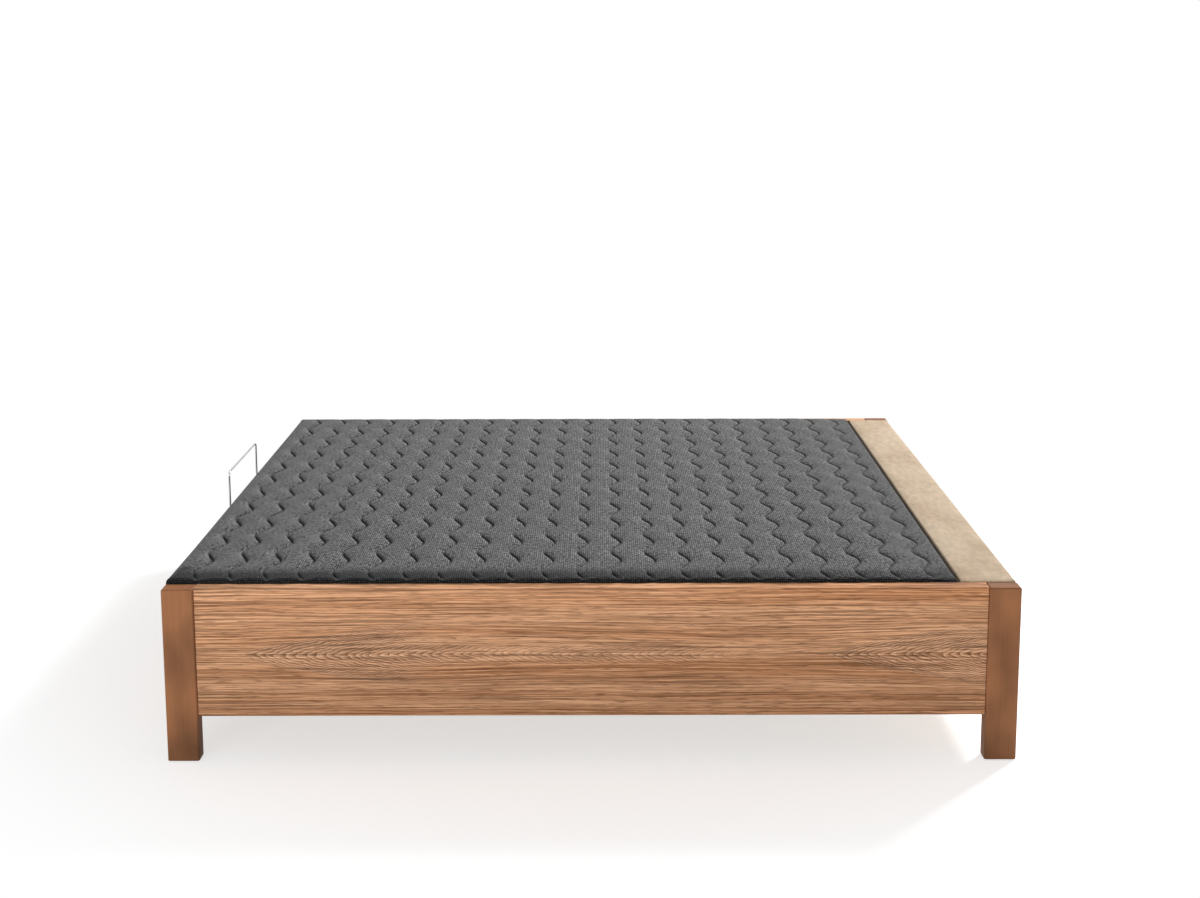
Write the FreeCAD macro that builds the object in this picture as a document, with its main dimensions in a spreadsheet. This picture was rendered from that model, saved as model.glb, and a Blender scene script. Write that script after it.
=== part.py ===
"""Storage bed base: a box on four posts, closed by an upholstered platform that tips up at the foot end.

Frame: X along the bed with the head end at +X, Y across it with the front side at -Y, Z up from the floor.
"""
import FreeCAD, Part
import math
import os

import Sketcher

# Driving sizes in millimetres and degrees. Each row is a name, a value and what it measures.
SIZES = (
    ("bed_length", 2150, "outer length over the posts"),
    ("bed_width", 1680, "outer width over the posts"),
    ("post_width", 80, "post, along the bed"),
    ("post_depth", 40, "post, across the bed"),
    ("post_height", 452, "post, without its glide"),
    ("post_arris", 3, "eased arris of a post"),
    ("glide_height", 3, "glide under a post or centre leg"),
    ("glide_margin", 5, "glide inside the post's or leg's outline"),
    ("panel_recess", 4, "side panel's face behind the post's face"),
    ("panel_arris", 2, "eased arris of a side panel"),
    ("end_panel_thickness", 18, "foot and head panels"),
    ("end_panel_recess", 2, "end panel's face behind the post's face"),
    ("joint_gap", 0.4, "fit between boards that butt or drop in"),
    ("under_clearance", 120, "floor to the panels' lower edge"),
    ("rest_drop", 14, "frame top to the upper edge of the ledgers and the foot panel"),
    ("bumper_height", 7, "that edge to the closed platform"),
    ("bumper_size", 16, "square rubber bumper"),
    ("bumper_margin", 140, "end of a row of bumpers to the first one"),
    ("rest_clearance", 0.3, "closed platform above its bumpers"),
    ("board_thickness", 12, "platform board"),
    ("platform_side_gap", 1.5, "cover to the side panel's inner plane"),
    ("cover_wrap", 3, "cover outside the board's edge"),
    ("pad_thickness", 14, "cover's crests above the board"),
    ("pad_band", 17, "upright band round the cover's edge"),
    ("pad_roll", 34, "width over which the cover's edge rolls over"),
    ("pad_tuck", 2, "cover's lower edge drawn in under the band"),
    ("pad_tuck_height", 5, "height of the drawn-in lower edge"),
    ("quilt_depth", 4, "seams below the crests"),
    ("seam_foot_margin", 70.7, "foot edge to the first seam"),
    ("seam_head_margin", 60, "head edge to the last seam"),
    ("wave_length", 140.2, "one wave of a seam"),
    ("wave_height", 13, "seam to either side of its mean line"),
    ("wave_start", 16.4, "front edge to the first crossing of the mean line"),
    ("deck_width", 139, "fixed head deck, along the bed"),
    ("deck_gap", 7, "platform's head edge to the deck"),
    ("deck_setback", 4, "deck's outer edge behind the posts' face"),
    ("deck_side_gap", 2, "deck to the side panel's inner plane"),
    ("deck_rise", 5, "deck above the frame top"),
    ("deck_board_thickness", 15, "deck board"),
    ("deck_pad", 5, "deck cover over the board"),
    ("deck_wrap", 2, "deck cover round the board's edge"),
    ("deck_round", 4, "rounded edge of the deck cover"),
    ("deck_rail_thickness", 25, "rail under the deck, along the bed"),
    ("deck_rail_height", 60, "rail under the deck"),
    ("ledger_width", 25, "ledger inside a side panel"),
    ("ledger_height", 40, "ledger inside a side panel"),
    ("ledger_stop", 60, "ledger's end before the strut's upper stud"),
    ("floor_rail_size", 25, "square rail under the storage floor"),
    ("floor_rail_lift", 2, "rail above the panels' lower edge"),
    ("floor_thickness", 8, "storage floor boards"),
    ("beam_width", 40, "centre beam, across the bed"),
    ("beam_height", 40, "centre beam"),
    ("centre_leg_spacing", 1000, "between the two centre legs"),
    ("centre_leg_size", 40, "square centre leg"),
    ("bracket_thickness", 3, "corner bracket"),
    ("bracket_long", 110, "corner bracket's leg along the bed"),
    ("bracket_short", 60, "corner bracket's leg across the bed"),
    ("bracket_height", 120, "corner bracket"),
    ("bracket_lift", 90, "bracket above the panels' lower edge"),
    ("bracket_bolt_margin", 18, "bolt to the bracket's edge"),
    ("bolt_radius", 3, "bolt shank"),
    ("bolt_length", 15, "bolt under its head"),
    ("bolt_head_height", 3.5, "hexagon bolt head"),
    ("bolt_head_radius", 6, "hexagon bolt head over its corners"),
    ("bolt_clearance", 0.15, "round a bolt's shank"),
    ("bolt_room", 2, "hole beyond the bolt's end"),
    ("rail_width", 40, "platform rails, across their length"),
    ("rail_height", 45, "platform rails"),
    ("rail_foot_gap", 8, "side rails to the foot panel"),
    ("rail_head_gap", 30, "side rails to the pivot"),
    ("cross_rail_inset", 85, "foot edge to the first cross rail"),
    ("frame_plate", 4, "frame plate on the side panel"),
    ("frame_plate_margin", 20, "frame plate round its lower corners"),
    ("arm_plate", 4, "lift arm on the side rail"),
    ("arm_depth", 24, "lift arm, between its upper and lower edges' centres"),
    ("arm_tail", 110, "lift arm past the strut's stud"),
    ("arm_neck", 70, "lift arm's taper at the pivot"),
    ("plate_nose", 10, "plates round the pivot"),
    ("strut_room", 32, "between frame plate and lift arm"),
    ("pivot_inset", 90, "platform's head edge to the pivot"),
    ("pivot_drop", 11, "platform board's underside to the pivot"),
    ("pivot_radius", 5, "pivot pin"),
    ("pivot_head_radius", 9, "pivot pin's head"),
    ("pivot_head_height", 4, "pivot pin's head"),
    ("bush_radius", 9, "bush on the pivot pin"),
    ("running_clearance", 0.06, "between a pin and what turns on it"),
    ("side_clearance", 0.4, "between faces that turn past each other"),
    ("plate_floor_gap", 4, "frame plate above the storage floor"),
    ("lever_drop", 1.75, "angle of the strut's upper stud below the pivot"),
    ("strut_angle", 55, "angle between the studs, closed"),
    ("lift_angle", 45, "travel of the platform"),
    ("stud_radius", 4, "stud through the strut's eye"),
    ("stud_collar_radius", 7, "stud's collar"),
    ("stud_nut_radius", 7, "stud's hexagon nut over its corners"),
    ("stud_nut_height", 4, "stud's hexagon nut"),
    ("eye_radius", 10, "eye at either end of the strut"),
    ("eye_width", 14, "eye at either end of the strut"),
    ("tube_radius", 11, "gas cylinder, outside"),
    ("tube_offset", 7.6, "eye's centre to the cylinder's end"),
    ("tube_base", 20, "cylinder's closed end"),
    ("rod_radius", 4, "piston rod"),
    ("rod_clearance", 0.4, "round the rod in its cylinder"),
    ("rod_reserve", 34, "rod left outside the closed strut"),
    ("wire_radius", 3, "mattress retainer's wire"),
    ("retainer_width", 320, "between the retainer's legs"),
    ("retainer_height", 102, "retainer above the frame top"),
    ("retainer_stand_off", 5, "wire's centre outside the foot face"),
    ("retainer_foot", 62, "retainer's feet under the board, from the foot face"),
    ("retainer_bend", 12, "wire's upper bends"),
    ("retainer_foot_bend", 7, "wire's lower bends"),
    ("clip_thickness", 2, "saddle clip's sheet"),
    ("clip_width", 30, "saddle clip across the wire"),
    ("clip_length", 16, "saddle clip along the wire"),
    ("clip_margin", 6, "saddle clip to the wire's end"),
    ("wire_clearance", 0.3, "round the wire in its clip"),
    ("overrun", 5, "past the surface that a cut opens"),
)

SEAM_COUNT = 22
CROSS_RAIL_COUNT = 6
LEDGER_BUMPERS = 4
# Foot bumpers between the retainer and the side panels.
FOOT_BUMPER_SHARES = (0.35, 0.8)
HEXAGON_SIDES = 6
# Rows of the cover at the turns of its seams: share of one wave, and the way that the seam turns.
WAVE_TURNS = ((0.25, -1), (0.75, 1))
# How the cover rises behind its edge: shares of the roll's width and of the rise from band to crest.
ROLL_SHARES = ((0.2, 0.62), (1.0, 1.0))
# Where the crown of a channel starts and ends between two seams.
CROWN_SHARES = (0.28, 0.72)
FRONT, BACK = -1, 1
FOOT, HEAD = -1, 1
SIDES = (("front", FRONT), ("back", BACK))
ENDS = (("foot", FOOT), ("head", HEAD))

doc = FreeCAD.newDocument("StorageBedBase")
sheet = doc.addObject("Spreadsheet::Sheet", "Sizes")
for row, (alias, value, note) in enumerate(SIZES, start=1):
    sheet.set(f"A{row}", note)
    sheet.set(f"B{row}", str(value))
    sheet.setAlias(f"B{row}", alias)
doc.recompute()

# Places that several pieces share, written in the sheet's names.
HALF_LENGTH = "(Sizes.bed_length / 2)"
HALF_WIDTH = "(Sizes.bed_width / 2)"
FRAME_TOP = "(Sizes.glide_height + Sizes.post_height)"
PANEL_HEIGHT = f"({FRAME_TOP} - Sizes.under_clearance)"
PANEL_THICKNESS = "(Sizes.post_depth - Sizes.panel_recess)"
SIDE_FACE = f"({HALF_WIDTH} - Sizes.post_depth)"
POST_FACE = f"({HALF_LENGTH} - Sizes.post_width)"
END_FACE = f"({HALF_LENGTH} - Sizes.end_panel_recess - Sizes.end_panel_thickness)"
REST_LEVEL = f"({FRAME_TOP} - Sizes.rest_drop)"
BOARD_UNDER = f"({REST_LEVEL} + Sizes.bumper_height)"
BOARD_TOP = f"({BOARD_UNDER} + Sizes.board_thickness)"
COVER_SIDE = f"({SIDE_FACE} - Sizes.platform_side_gap)"
DECK_HEAD = f"({HALF_LENGTH} - Sizes.deck_setback)"
DECK_FOOT = f"({DECK_HEAD} - Sizes.deck_width)"
DECK_SIDE = f"({SIDE_FACE} - Sizes.deck_side_gap)"
DECK_TOP = f"({FRAME_TOP} + Sizes.deck_rise)"
DECK_UNDER = f"({DECK_TOP} - Sizes.deck_pad - Sizes.deck_board_thickness)"
COVER_HEAD = f"({DECK_FOOT} - Sizes.deck_gap)"
PIVOT_X = f"({COVER_HEAD} - Sizes.pivot_inset)"
PIVOT_Z = f"({BOARD_UNDER} - Sizes.pivot_drop)"
PLATE_FACE = f"({SIDE_FACE} - Sizes.frame_plate)"
STRUT_PLANE = f"({PLATE_FACE} - Sizes.strut_room / 2)"
ARM_FACE = f"({PLATE_FACE} - Sizes.strut_room)"
RAIL_FACE = f"({ARM_FACE} - Sizes.arm_plate)"
RAIL_UNDER = f"({BOARD_UNDER} - Sizes.rail_height)"
RAIL_FOOT = f"(Sizes.rail_foot_gap - {END_FACE})"
RAIL_HEAD = f"({PIVOT_X} - Sizes.rail_head_gap)"
FLOOR_RAIL_UNDER = "(Sizes.under_clearance + Sizes.floor_rail_lift)"
FLOOR_UNDER = f"({FLOOR_RAIL_UNDER} + Sizes.floor_rail_size)"
LOWER_STUD = f"({FLOOR_UNDER} + Sizes.floor_thickness + Sizes.plate_floor_gap + Sizes.frame_plate_margin)"
# Both studs lie on one circle round the pivot, so a strut turns half as far as the platform.
LEVER_RADIUS = f"(({PIVOT_Z} - {LOWER_STUD}) / sin(Sizes.lever_drop + Sizes.strut_angle))"
UPPER_STUD_X = f"(-{LEVER_RADIUS} * cos(Sizes.lever_drop))"
UPPER_STUD_Z = f"(-{LEVER_RADIUS} * sin(Sizes.lever_drop))"
LOWER_STUD_X = f"(-{LEVER_RADIUS} * cos(Sizes.lever_drop + Sizes.strut_angle))"
LOWER_STUD_Z = f"({LOWER_STUD} - {PIVOT_Z})"
STRUT_TILT = "(-Sizes.lever_drop - Sizes.strut_angle / 2)"
STRUT_CLOSED = f"(2 * {LEVER_RADIUS} * sin(Sizes.strut_angle / 2))"
BEAM_UNDER = f"({FLOOR_UNDER} - Sizes.beam_height)"
BOLT_HOLE = "(Sizes.bolt_radius + Sizes.bolt_clearance)"
WIRE_Z = f"({BOARD_UNDER} - Sizes.wire_clearance - Sizes.wire_radius)"
WIRE_X = f"(-{HALF_LENGTH} - Sizes.retainer_stand_off)"

pieces = []


def number(expression):
    """Value of an expression written in the sheet's names."""
    return float(sheet.evalExpression(expression))


def signed(sign, expression):
    """The expression, negated for a negative sign."""
    return expression if sign > 0 else f"(-{expression})"


def piece(obj, label):
    """Register a finished sub-part under its own name."""
    obj.Label = label
    pieces.append(obj)
    return obj


def place(obj, x="0", y="0", z="0", tilt=None):
    """Bind an object's placement, with an optional turn about Y in degrees."""
    if tilt is not None:
        obj.Placement = FreeCAD.Placement(FreeCAD.Vector(), FreeCAD.Rotation(FreeCAD.Vector(0, 1, 0), 1))
        obj.setExpression("Placement.Rotation.Angle", tilt)
    for axis, expression in zip("xyz", (x, y, z)):
        obj.setExpression(f"Placement.Base.{axis}", expression)


def box(label, low, size):
    """A plain board or batten from its lowest corner and its size along X, Y and Z."""
    solid = doc.addObject("Part::Box", label)
    for name, expression in zip(("Length", "Width", "Height"), size):
        solid.setExpression(name, expression)
    place(solid, *low)
    return piece(solid, label)


def new_body(label):
    """An empty body registered under its name."""
    return piece(doc.addObject("PartDesign::Body", label), label)


def new_sketch(body, role):
    """A sketch on one of the body's own origin planes."""
    sketch = body.newObject("Sketcher::SketchObject", "Sketch")
    plane = [feature for feature in body.Origin.OriginFeatures if feature.Role == role][0]
    sketch.AttachmentSupport = [(plane, "")]
    sketch.MapMode = "FlatFace"
    return sketch


def bind(sketch, constraint, expression):
    """Add a dimension and bind it to the sheet."""
    index = sketch.addConstraint(constraint)
    sketch.setExpression(f"Constraints[{index}]", expression)


def fix_point(sketch, geometry, vertex, x, y):
    """Hold a sketch point at two expressions measured from the sketch's origin."""
    for kind, axis, expression in (("DistanceX", -2, x), ("DistanceY", -1, y)):
        value = number(expression)
        if value == 0:
            sketch.addConstraint(Sketcher.Constraint("PointOnObject", geometry, vertex, axis))
        elif value > 0:
            bind(sketch, Sketcher.Constraint(kind, -1, 1, geometry, vertex, value), expression)
        else:
            bind(sketch, Sketcher.Constraint(kind, geometry, vertex, -1, 1, -value), f"-({expression})")


def polygon(sketch, points):
    """A closed outline of straight lines through points given as expressions."""
    places = [FreeCAD.Vector(number(x), number(y), 0) for x, y in points]
    count = len(points)
    lines = [
        sketch.addGeometry(Part.LineSegment(places[k], places[(k + 1) % count]))
        for k in range(count)
    ]
    for k in range(count):
        sketch.addConstraint(Sketcher.Constraint("Coincident", lines[k], 2, lines[(k + 1) % count], 1))
        fix_point(sketch, lines[k], 1, *points[k])


def rectangle(sketch, x0, y0, x1, y1):
    """An upright rectangle between two corners."""
    polygon(sketch, ((x0, y0), (x1, y0), (x1, y1), (x0, y1)))


def circle(sketch, x, y, radius):
    """A circle whose centre and radius are expressions."""
    centre = FreeCAD.Vector(number(x), number(y), 0)
    index = sketch.addGeometry(Part.Circle(centre, FreeCAD.Vector(0, 0, 1), number(radius)))
    fix_point(sketch, index, 3, x, y)
    bind(sketch, Sketcher.Constraint("Radius", index, number(radius)), radius)


def hexagon(sketch, x, y, radius):
    """A hexagon with two of its corners level with its centre."""
    polygon(sketch, [
        (f"({x} + {radius} * cos({angle}))", f"({y} + {radius} * sin({angle}))")
        for angle in range(0, 360, 360 // HEXAGON_SIDES)
    ])


def bolt_hole(sketch, x, y):
    """A bolt's hole, drawn with six flats like the bolt's shank."""
    hexagon(sketch, x, y, BOLT_HOLE)


def rounded_outline(sketch, corners):
    """An outline drawn tight round circles, given counterclockwise as x, y and radius."""
    rings = [(FreeCAD.Vector(number(x), number(y), 0), number(r)) for x, y, r in corners]
    count = len(rings)
    runs = []
    for k in range(count):
        (start, start_r), (end, end_r) = rings[k], rings[(k + 1) % count]
        along = (end - start).normalize()
        across = FreeCAD.Vector(along.y, -along.x, 0)
        lean = (start_r - end_r) / start.distanceToPoint(end)
        normal = across * math.sqrt(1 - lean * lean) + along * lean
        runs.append((start + normal * start_r, end + normal * end_r, math.atan2(normal.y, normal.x)))
    lines = [sketch.addGeometry(Part.LineSegment(a, b)) for a, b, angle in runs]
    arcs = []
    for k in range(count):
        centre, radius = rings[k]
        ring = Part.Circle(centre, FreeCAD.Vector(0, 0, 1), radius)
        arcs.append(sketch.addGeometry(Part.ArcOfCircle(ring, runs[k - 1][2], runs[k][2])))
    for k in range(count):
        sketch.addConstraint(Sketcher.Constraint("Tangent", arcs[k], 2, lines[k], 1))
        sketch.addConstraint(Sketcher.Constraint("Tangent", lines[k], 2, arcs[(k + 1) % count], 1))
        fix_point(sketch, arcs[k], 3, corners[k][0], corners[k][1])
        bind(sketch, Sketcher.Constraint("Radius", arcs[k], rings[k][1]), corners[k][2])


def pad(body, sketch, length, reverse=False):
    """Raise a sketch into a solid."""
    feature = body.newObject("PartDesign::Pad", "Pad")
    feature.Profile = sketch
    feature.setExpression("Length", length)
    feature.Reversed = reverse
    doc.recompute()
    return feature


def pocket(body, sketch, depth, reverse=False):
    """Cut a sketch into the body, and make sure that it did cut."""
    before = body.Shape.Volume
    feature = body.newObject("PartDesign::Pocket", "Pocket")
    feature.Profile = sketch
    feature.setExpression("Length", depth)
    feature.Reversed = reverse
    doc.recompute()
    if not body.Shape.Volume < before:
        raise RuntimeError(f"{body.Label}: a pocket removed nothing")
    return feature


def revolve(body, sketch):
    """Turn a sketch about its own vertical axis."""
    feature = body.newObject("PartDesign::Revolution", "Revolution")
    feature.Profile = sketch
    feature.ReferenceAxis = (sketch, ["V_Axis"])
    doc.recompute()
    return feature


def dress(body, kind, size_name, size, chosen):
    """Chamfer or fillet the edges of the body that the test picks."""
    base = body.Tip
    names = [f"Edge{k}" for k, edge in enumerate(base.Shape.Edges, start=1) if chosen(edge.BoundBox)]
    feature = body.newObject(f"PartDesign::{kind}", kind)
    feature.Base = (base, names)
    feature.setExpression(size_name, size)
    doc.recompute()


def group(label, solids):
    """Like solids that share one node."""
    feature = doc.addObject("Part::Feature", label)
    feature.Shape = Part.makeCompound(solids)
    feature.Placement = FreeCAD.Placement()
    return piece(feature, label)


def vector(x, y, z):
    """A point from three expressions."""
    return FreeCAD.Vector(number(x), number(y), number(z))


def rod_between(start, end, radius):
    """A round bar from one point to another."""
    along = end - start
    return Part.makeCylinder(radius, along.Length, start, along)


def hexagon_bar(start, along, radius):
    """A six-sided bar along X or Y, with two of its corners level with its axis."""
    across = FreeCAD.Vector(abs(along.y), abs(along.x), 0).normalize() * radius
    ring = [
        start + FreeCAD.Rotation(along, 360 * k / HEXAGON_SIDES).multVec(across)
        for k in range(HEXAGON_SIDES)
    ]
    return Part.Face(Part.makePolygon(ring + ring[:1])).extrude(along)


def hexagon_bolt(seat, inward):
    """A bolt whose head stands on the seat and whose shank, drawn with six flats, goes the given way."""
    inward = FreeCAD.Vector(*inward)
    head = hexagon_bar(seat, inward * -number("Sizes.bolt_head_height"), number("Sizes.bolt_head_radius"))
    shank = hexagon_bar(seat, inward * number("Sizes.bolt_length"), number("Sizes.bolt_radius"))
    return head.fuse(shank).removeSplitter()


# Bolt places that a plate, the wood behind it and the bolts share.
BRACKET_UNDER = "(Sizes.under_clearance + Sizes.bracket_lift)"
BRACKET_BOLT_LOW = "Sizes.bracket_bolt_margin"
BRACKET_BOLT_HIGH = "(Sizes.bracket_height - Sizes.bracket_bolt_margin)"
BRACKET_POST_BOLT = f"(({END_FACE} - {POST_FACE}) / 2)"
BRACKET_PANEL_BOLT = "(Sizes.bracket_long - Sizes.bracket_bolt_margin)"
BRACKET_END_BOLT = "(Sizes.bracket_short - Sizes.bracket_bolt_margin)"
BRACKET_BOLT_DEPTH = "(Sizes.bolt_length - Sizes.bracket_thickness + Sizes.bolt_room)"
# Frame plate's lower corner below the pivot, and its bolts, from the pivot.
PLATE_FOOT_X = "(-Sizes.frame_plate_margin)"
PLATE_BOLTS = (
    (f"({LOWER_STUD_X} / 3 - Sizes.frame_plate_margin)", f"({LOWER_STUD_Z} / 3)"),
    (f"(-Sizes.frame_plate_margin)", f"({LOWER_STUD_Z} / 2)"),
    (PLATE_FOOT_X, LOWER_STUD_Z),
    (f"({LOWER_STUD_X} / 2)", LOWER_STUD_Z),
)
PLATE_BOLT_DEPTH = "(Sizes.bolt_length - Sizes.frame_plate + Sizes.bolt_room)"
# Lift arm's bolts, from the pivot.
ARM_BOLT_Z = "(-Sizes.arm_depth)"
ARM_BOLTS = (
    ("(-Sizes.arm_neck)", ARM_BOLT_Z),
    (f"({UPPER_STUD_X} / 2)", ARM_BOLT_Z),
    (f"({UPPER_STUD_X} - Sizes.arm_tail)", ARM_BOLT_Z),
)
ARM_BOLT_DEPTH = "(Sizes.bolt_length - Sizes.arm_plate + Sizes.bolt_room)"


def make_post(end_name, end, side_name, side):
    """A corner post with its origin at the arris between its two inner faces."""
    body = new_body(f"post_{side_name}_{end_name}")
    outline = new_sketch(body, "XY_Plane")
    rectangle(outline, "0", "0", signed(end, "Sizes.post_width"), signed(side, "Sizes.post_depth"))
    pad(body, outline, "Sizes.post_height")
    dress(body, "Chamfer", "Size", "Sizes.post_arris", lambda edge: edge.ZMax > 0)
    holes = new_sketch(body, "XZ_Plane")
    height = f"({BRACKET_UNDER} - Sizes.glide_height + Sizes.bracket_height / 2)"
    bolt_hole(holes, signed(end, f"({END_FACE} - {POST_FACE} - {BRACKET_POST_BOLT})"), height)
    pocket(body, holes, BRACKET_BOLT_DEPTH, reverse=side == FRONT)
    place(body, signed(end, POST_FACE), signed(side, SIDE_FACE), "Sizes.glide_height")


def make_side_panel(side_name, side):
    """A thick laminated panel between two posts, with its origin on its inner face."""
    body = new_body(f"side_panel_{side_name}")
    outline = new_sketch(body, "XZ_Plane")
    half = f"({POST_FACE} - Sizes.joint_gap)"
    rectangle(outline, f"(-{half})", "0", half, PANEL_HEIGHT)
    pad(body, outline, PANEL_THICKNESS, reverse=side == BACK)
    outer = number(PANEL_THICKNESS)
    dress(
        body, "Chamfer", "Size", "Sizes.panel_arris", lambda edge: min(abs(edge.YMin), abs(edge.YMax)) > outer / 2
    )
    brackets = new_sketch(body, "XZ_Plane")
    for end_name, end in ENDS:
        x = signed(end, f"({END_FACE} - {BRACKET_PANEL_BOLT})")
        bolt_hole(brackets, x, "(Sizes.bracket_lift + Sizes.bracket_height / 2)")
    pocket(body, brackets, BRACKET_BOLT_DEPTH, reverse=side == FRONT)
    plate = new_sketch(body, "XZ_Plane")
    for x, z in PLATE_BOLTS:
        bolt_hole(plate, f"({PIVOT_X} + {x})", f"({PIVOT_Z} + {z} - Sizes.under_clearance)")
    pocket(body, plate, PLATE_BOLT_DEPTH, reverse=side == FRONT)
    place(body, "0", signed(side, SIDE_FACE), "Sizes.under_clearance")


def make_end_panel(end_name, end, height):
    """A panel across the bed between two posts, with its origin on its inner face."""
    body = new_body(f"{end_name}_end_panel")
    outline = new_sketch(body, "YZ_Plane")
    half = f"({SIDE_FACE} - Sizes.joint_gap)"
    rectangle(outline, f"(-{half})", "0", half, height)
    pad(body, outline, "Sizes.end_panel_thickness", reverse=end == FOOT)
    holes = new_sketch(body, "YZ_Plane")
    for side_name, side in SIDES:
        for level in (BRACKET_BOLT_LOW, BRACKET_BOLT_HIGH):
            y = signed(side, f"({SIDE_FACE} - {BRACKET_END_BOLT})")
            bolt_hole(holes, y, f"(Sizes.bracket_lift + {level})")
    pocket(body, holes, BRACKET_BOLT_DEPTH, reverse=end == HEAD)
    place(body, signed(end, END_FACE), "0", "Sizes.under_clearance")


def make_corner_bracket(end_name, end, side_name, side):
    """A bent steel angle in an inner corner of the box."""
    body = new_body(f"corner_bracket_{side_name}_{end_name}")
    inward_x, inward_y = -end, -side
    outline = new_sketch(body, "XY_Plane")
    long_leg = signed(inward_x, "Sizes.bracket_long")
    short_leg = signed(inward_y, "Sizes.bracket_short")
    wall_x = signed(inward_x, "Sizes.bracket_thickness")
    wall_y = signed(inward_y, "Sizes.bracket_thickness")
    polygon(outline, (
        ("0", "0"), (long_leg, "0"), (long_leg, wall_y), (wall_x, wall_y), (wall_x, short_leg), ("0", short_leg),
    ))
    pad(body, outline, "Sizes.bracket_height")
    long_holes = new_sketch(body, "XZ_Plane")
    for x in (BRACKET_POST_BOLT, BRACKET_PANEL_BOLT):
        bolt_hole(long_holes, signed(inward_x, x), "(Sizes.bracket_height / 2)")
    pocket(body, long_holes, "Sizes.bracket_thickness", reverse=inward_y < 0)
    short_holes = new_sketch(body, "YZ_Plane")
    for z in (BRACKET_BOLT_LOW, BRACKET_BOLT_HIGH):
        bolt_hole(short_holes, signed(inward_y, BRACKET_END_BOLT), z)
    pocket(body, short_holes, "Sizes.bracket_thickness", reverse=inward_x > 0)
    place(body, signed(end, END_FACE), signed(side, SIDE_FACE), BRACKET_UNDER)


def make_corner_bolts():
    """Bolts through the corner brackets into posts and panels."""
    bolts = []
    for end_name, end in ENDS:
        for side_name, side in SIDES:
            seat_y = signed(side, f"({SIDE_FACE} - Sizes.bracket_thickness)")
            for x in (BRACKET_POST_BOLT, BRACKET_PANEL_BOLT):
                seat = vector(
                    signed(end, f"({END_FACE} - {x})"), seat_y, f"({BRACKET_UNDER} + Sizes.bracket_height / 2)"
                )
                bolts.append(hexagon_bolt(seat, (0, side, 0)))
            for level in (BRACKET_BOLT_LOW, BRACKET_BOLT_HIGH):
                seat = vector(
                    signed(end, f"({END_FACE} - Sizes.bracket_thickness)"),
                    signed(side, f"({SIDE_FACE} - {BRACKET_END_BOLT})"),
                    f"({BRACKET_UNDER} + {level})",
                )
                bolts.append(hexagon_bolt(seat, (end, 0, 0)))
    group("corner_bolts", bolts)


def upright_block(x, y, low, size):
    """A plain block centred over a point, from its lower face and its size along X, Y and Z."""
    length, width, height = size
    return Part.makeBox(length, width, height, FreeCAD.Vector(x - length / 2, y - width / 2, low))


def make_glides():
    """Plastic glides under the four posts and the two centre legs."""
    margin = number("Sizes.glide_margin")
    height = number("Sizes.glide_height")
    post_x = number(f"({HALF_LENGTH} - Sizes.post_width / 2)")
    post_y = number(f"({HALF_WIDTH} - Sizes.post_depth / 2)")
    post_size = (number("Sizes.post_width") - 2 * margin, number("Sizes.post_depth") - 2 * margin, height)
    leg_x = number("Sizes.centre_leg_spacing / 2")
    leg = number("Sizes.centre_leg_size") - 2 * margin
    glides = [
        upright_block(end * post_x, side * post_y, 0, post_size)
        for end_name, end in ENDS
        for side_name, side in SIDES
    ]
    glides += [upright_block(end * leg_x, 0, 0, (leg, leg, height)) for end_name, end in ENDS]
    group("floor_glides", glides)


def make_storage_floor():
    """Floor boards on rails along the four walls and on a centre beam with two legs."""
    size = "Sizes.floor_rail_size"
    span = f"({END_FACE} - Sizes.joint_gap)"
    for side_name, side in SIDES:
        low_y = f"(-{SIDE_FACE})" if side == FRONT else f"({SIDE_FACE} - {size})"
        box(f"floor_rail_{side_name}", (f"(-{span})", low_y, FLOOR_RAIL_UNDER), (f"(2 * {span})", size, size))
    inner = f"({SIDE_FACE} - {size} - Sizes.joint_gap)"
    for end_name, end in ENDS:
        low_x = f"(-{END_FACE})" if end == FOOT else f"({END_FACE} - {size})"
        box(f"floor_rail_{end_name}", (low_x, f"(-{inner})", FLOOR_RAIL_UNDER), (size, f"(2 * {inner})", size))
    reach = f"({END_FACE} - {size} - Sizes.joint_gap)"
    box(
        "centre_beam",
        (f"(-{reach})", "(-Sizes.beam_width / 2)", BEAM_UNDER),
        (f"(2 * {reach})", "Sizes.beam_width", "Sizes.beam_height"),
    )
    for side_name, side in SIDES:
        low_y = f"(Sizes.joint_gap - {SIDE_FACE})" if side == FRONT else "(Sizes.joint_gap / 2)"
        box(
            f"storage_floor_{side_name}",
            (f"(-{span})", low_y, FLOOR_UNDER),
            (f"(2 * {span})", f"({SIDE_FACE} - 3 * Sizes.joint_gap / 2)", "Sizes.floor_thickness"),
        )
    for end_name, end in ENDS:
        half = "(Sizes.centre_leg_size / 2)"
        box(
            f"centre_leg_{end_name}",
            (f"({signed(end, '(Sizes.centre_leg_spacing / 2)')} - {half})", f"(-{half})", "Sizes.glide_height"),
            ("Sizes.centre_leg_size", "Sizes.centre_leg_size", f"({BEAM_UNDER} - Sizes.glide_height)"),
        )


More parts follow.
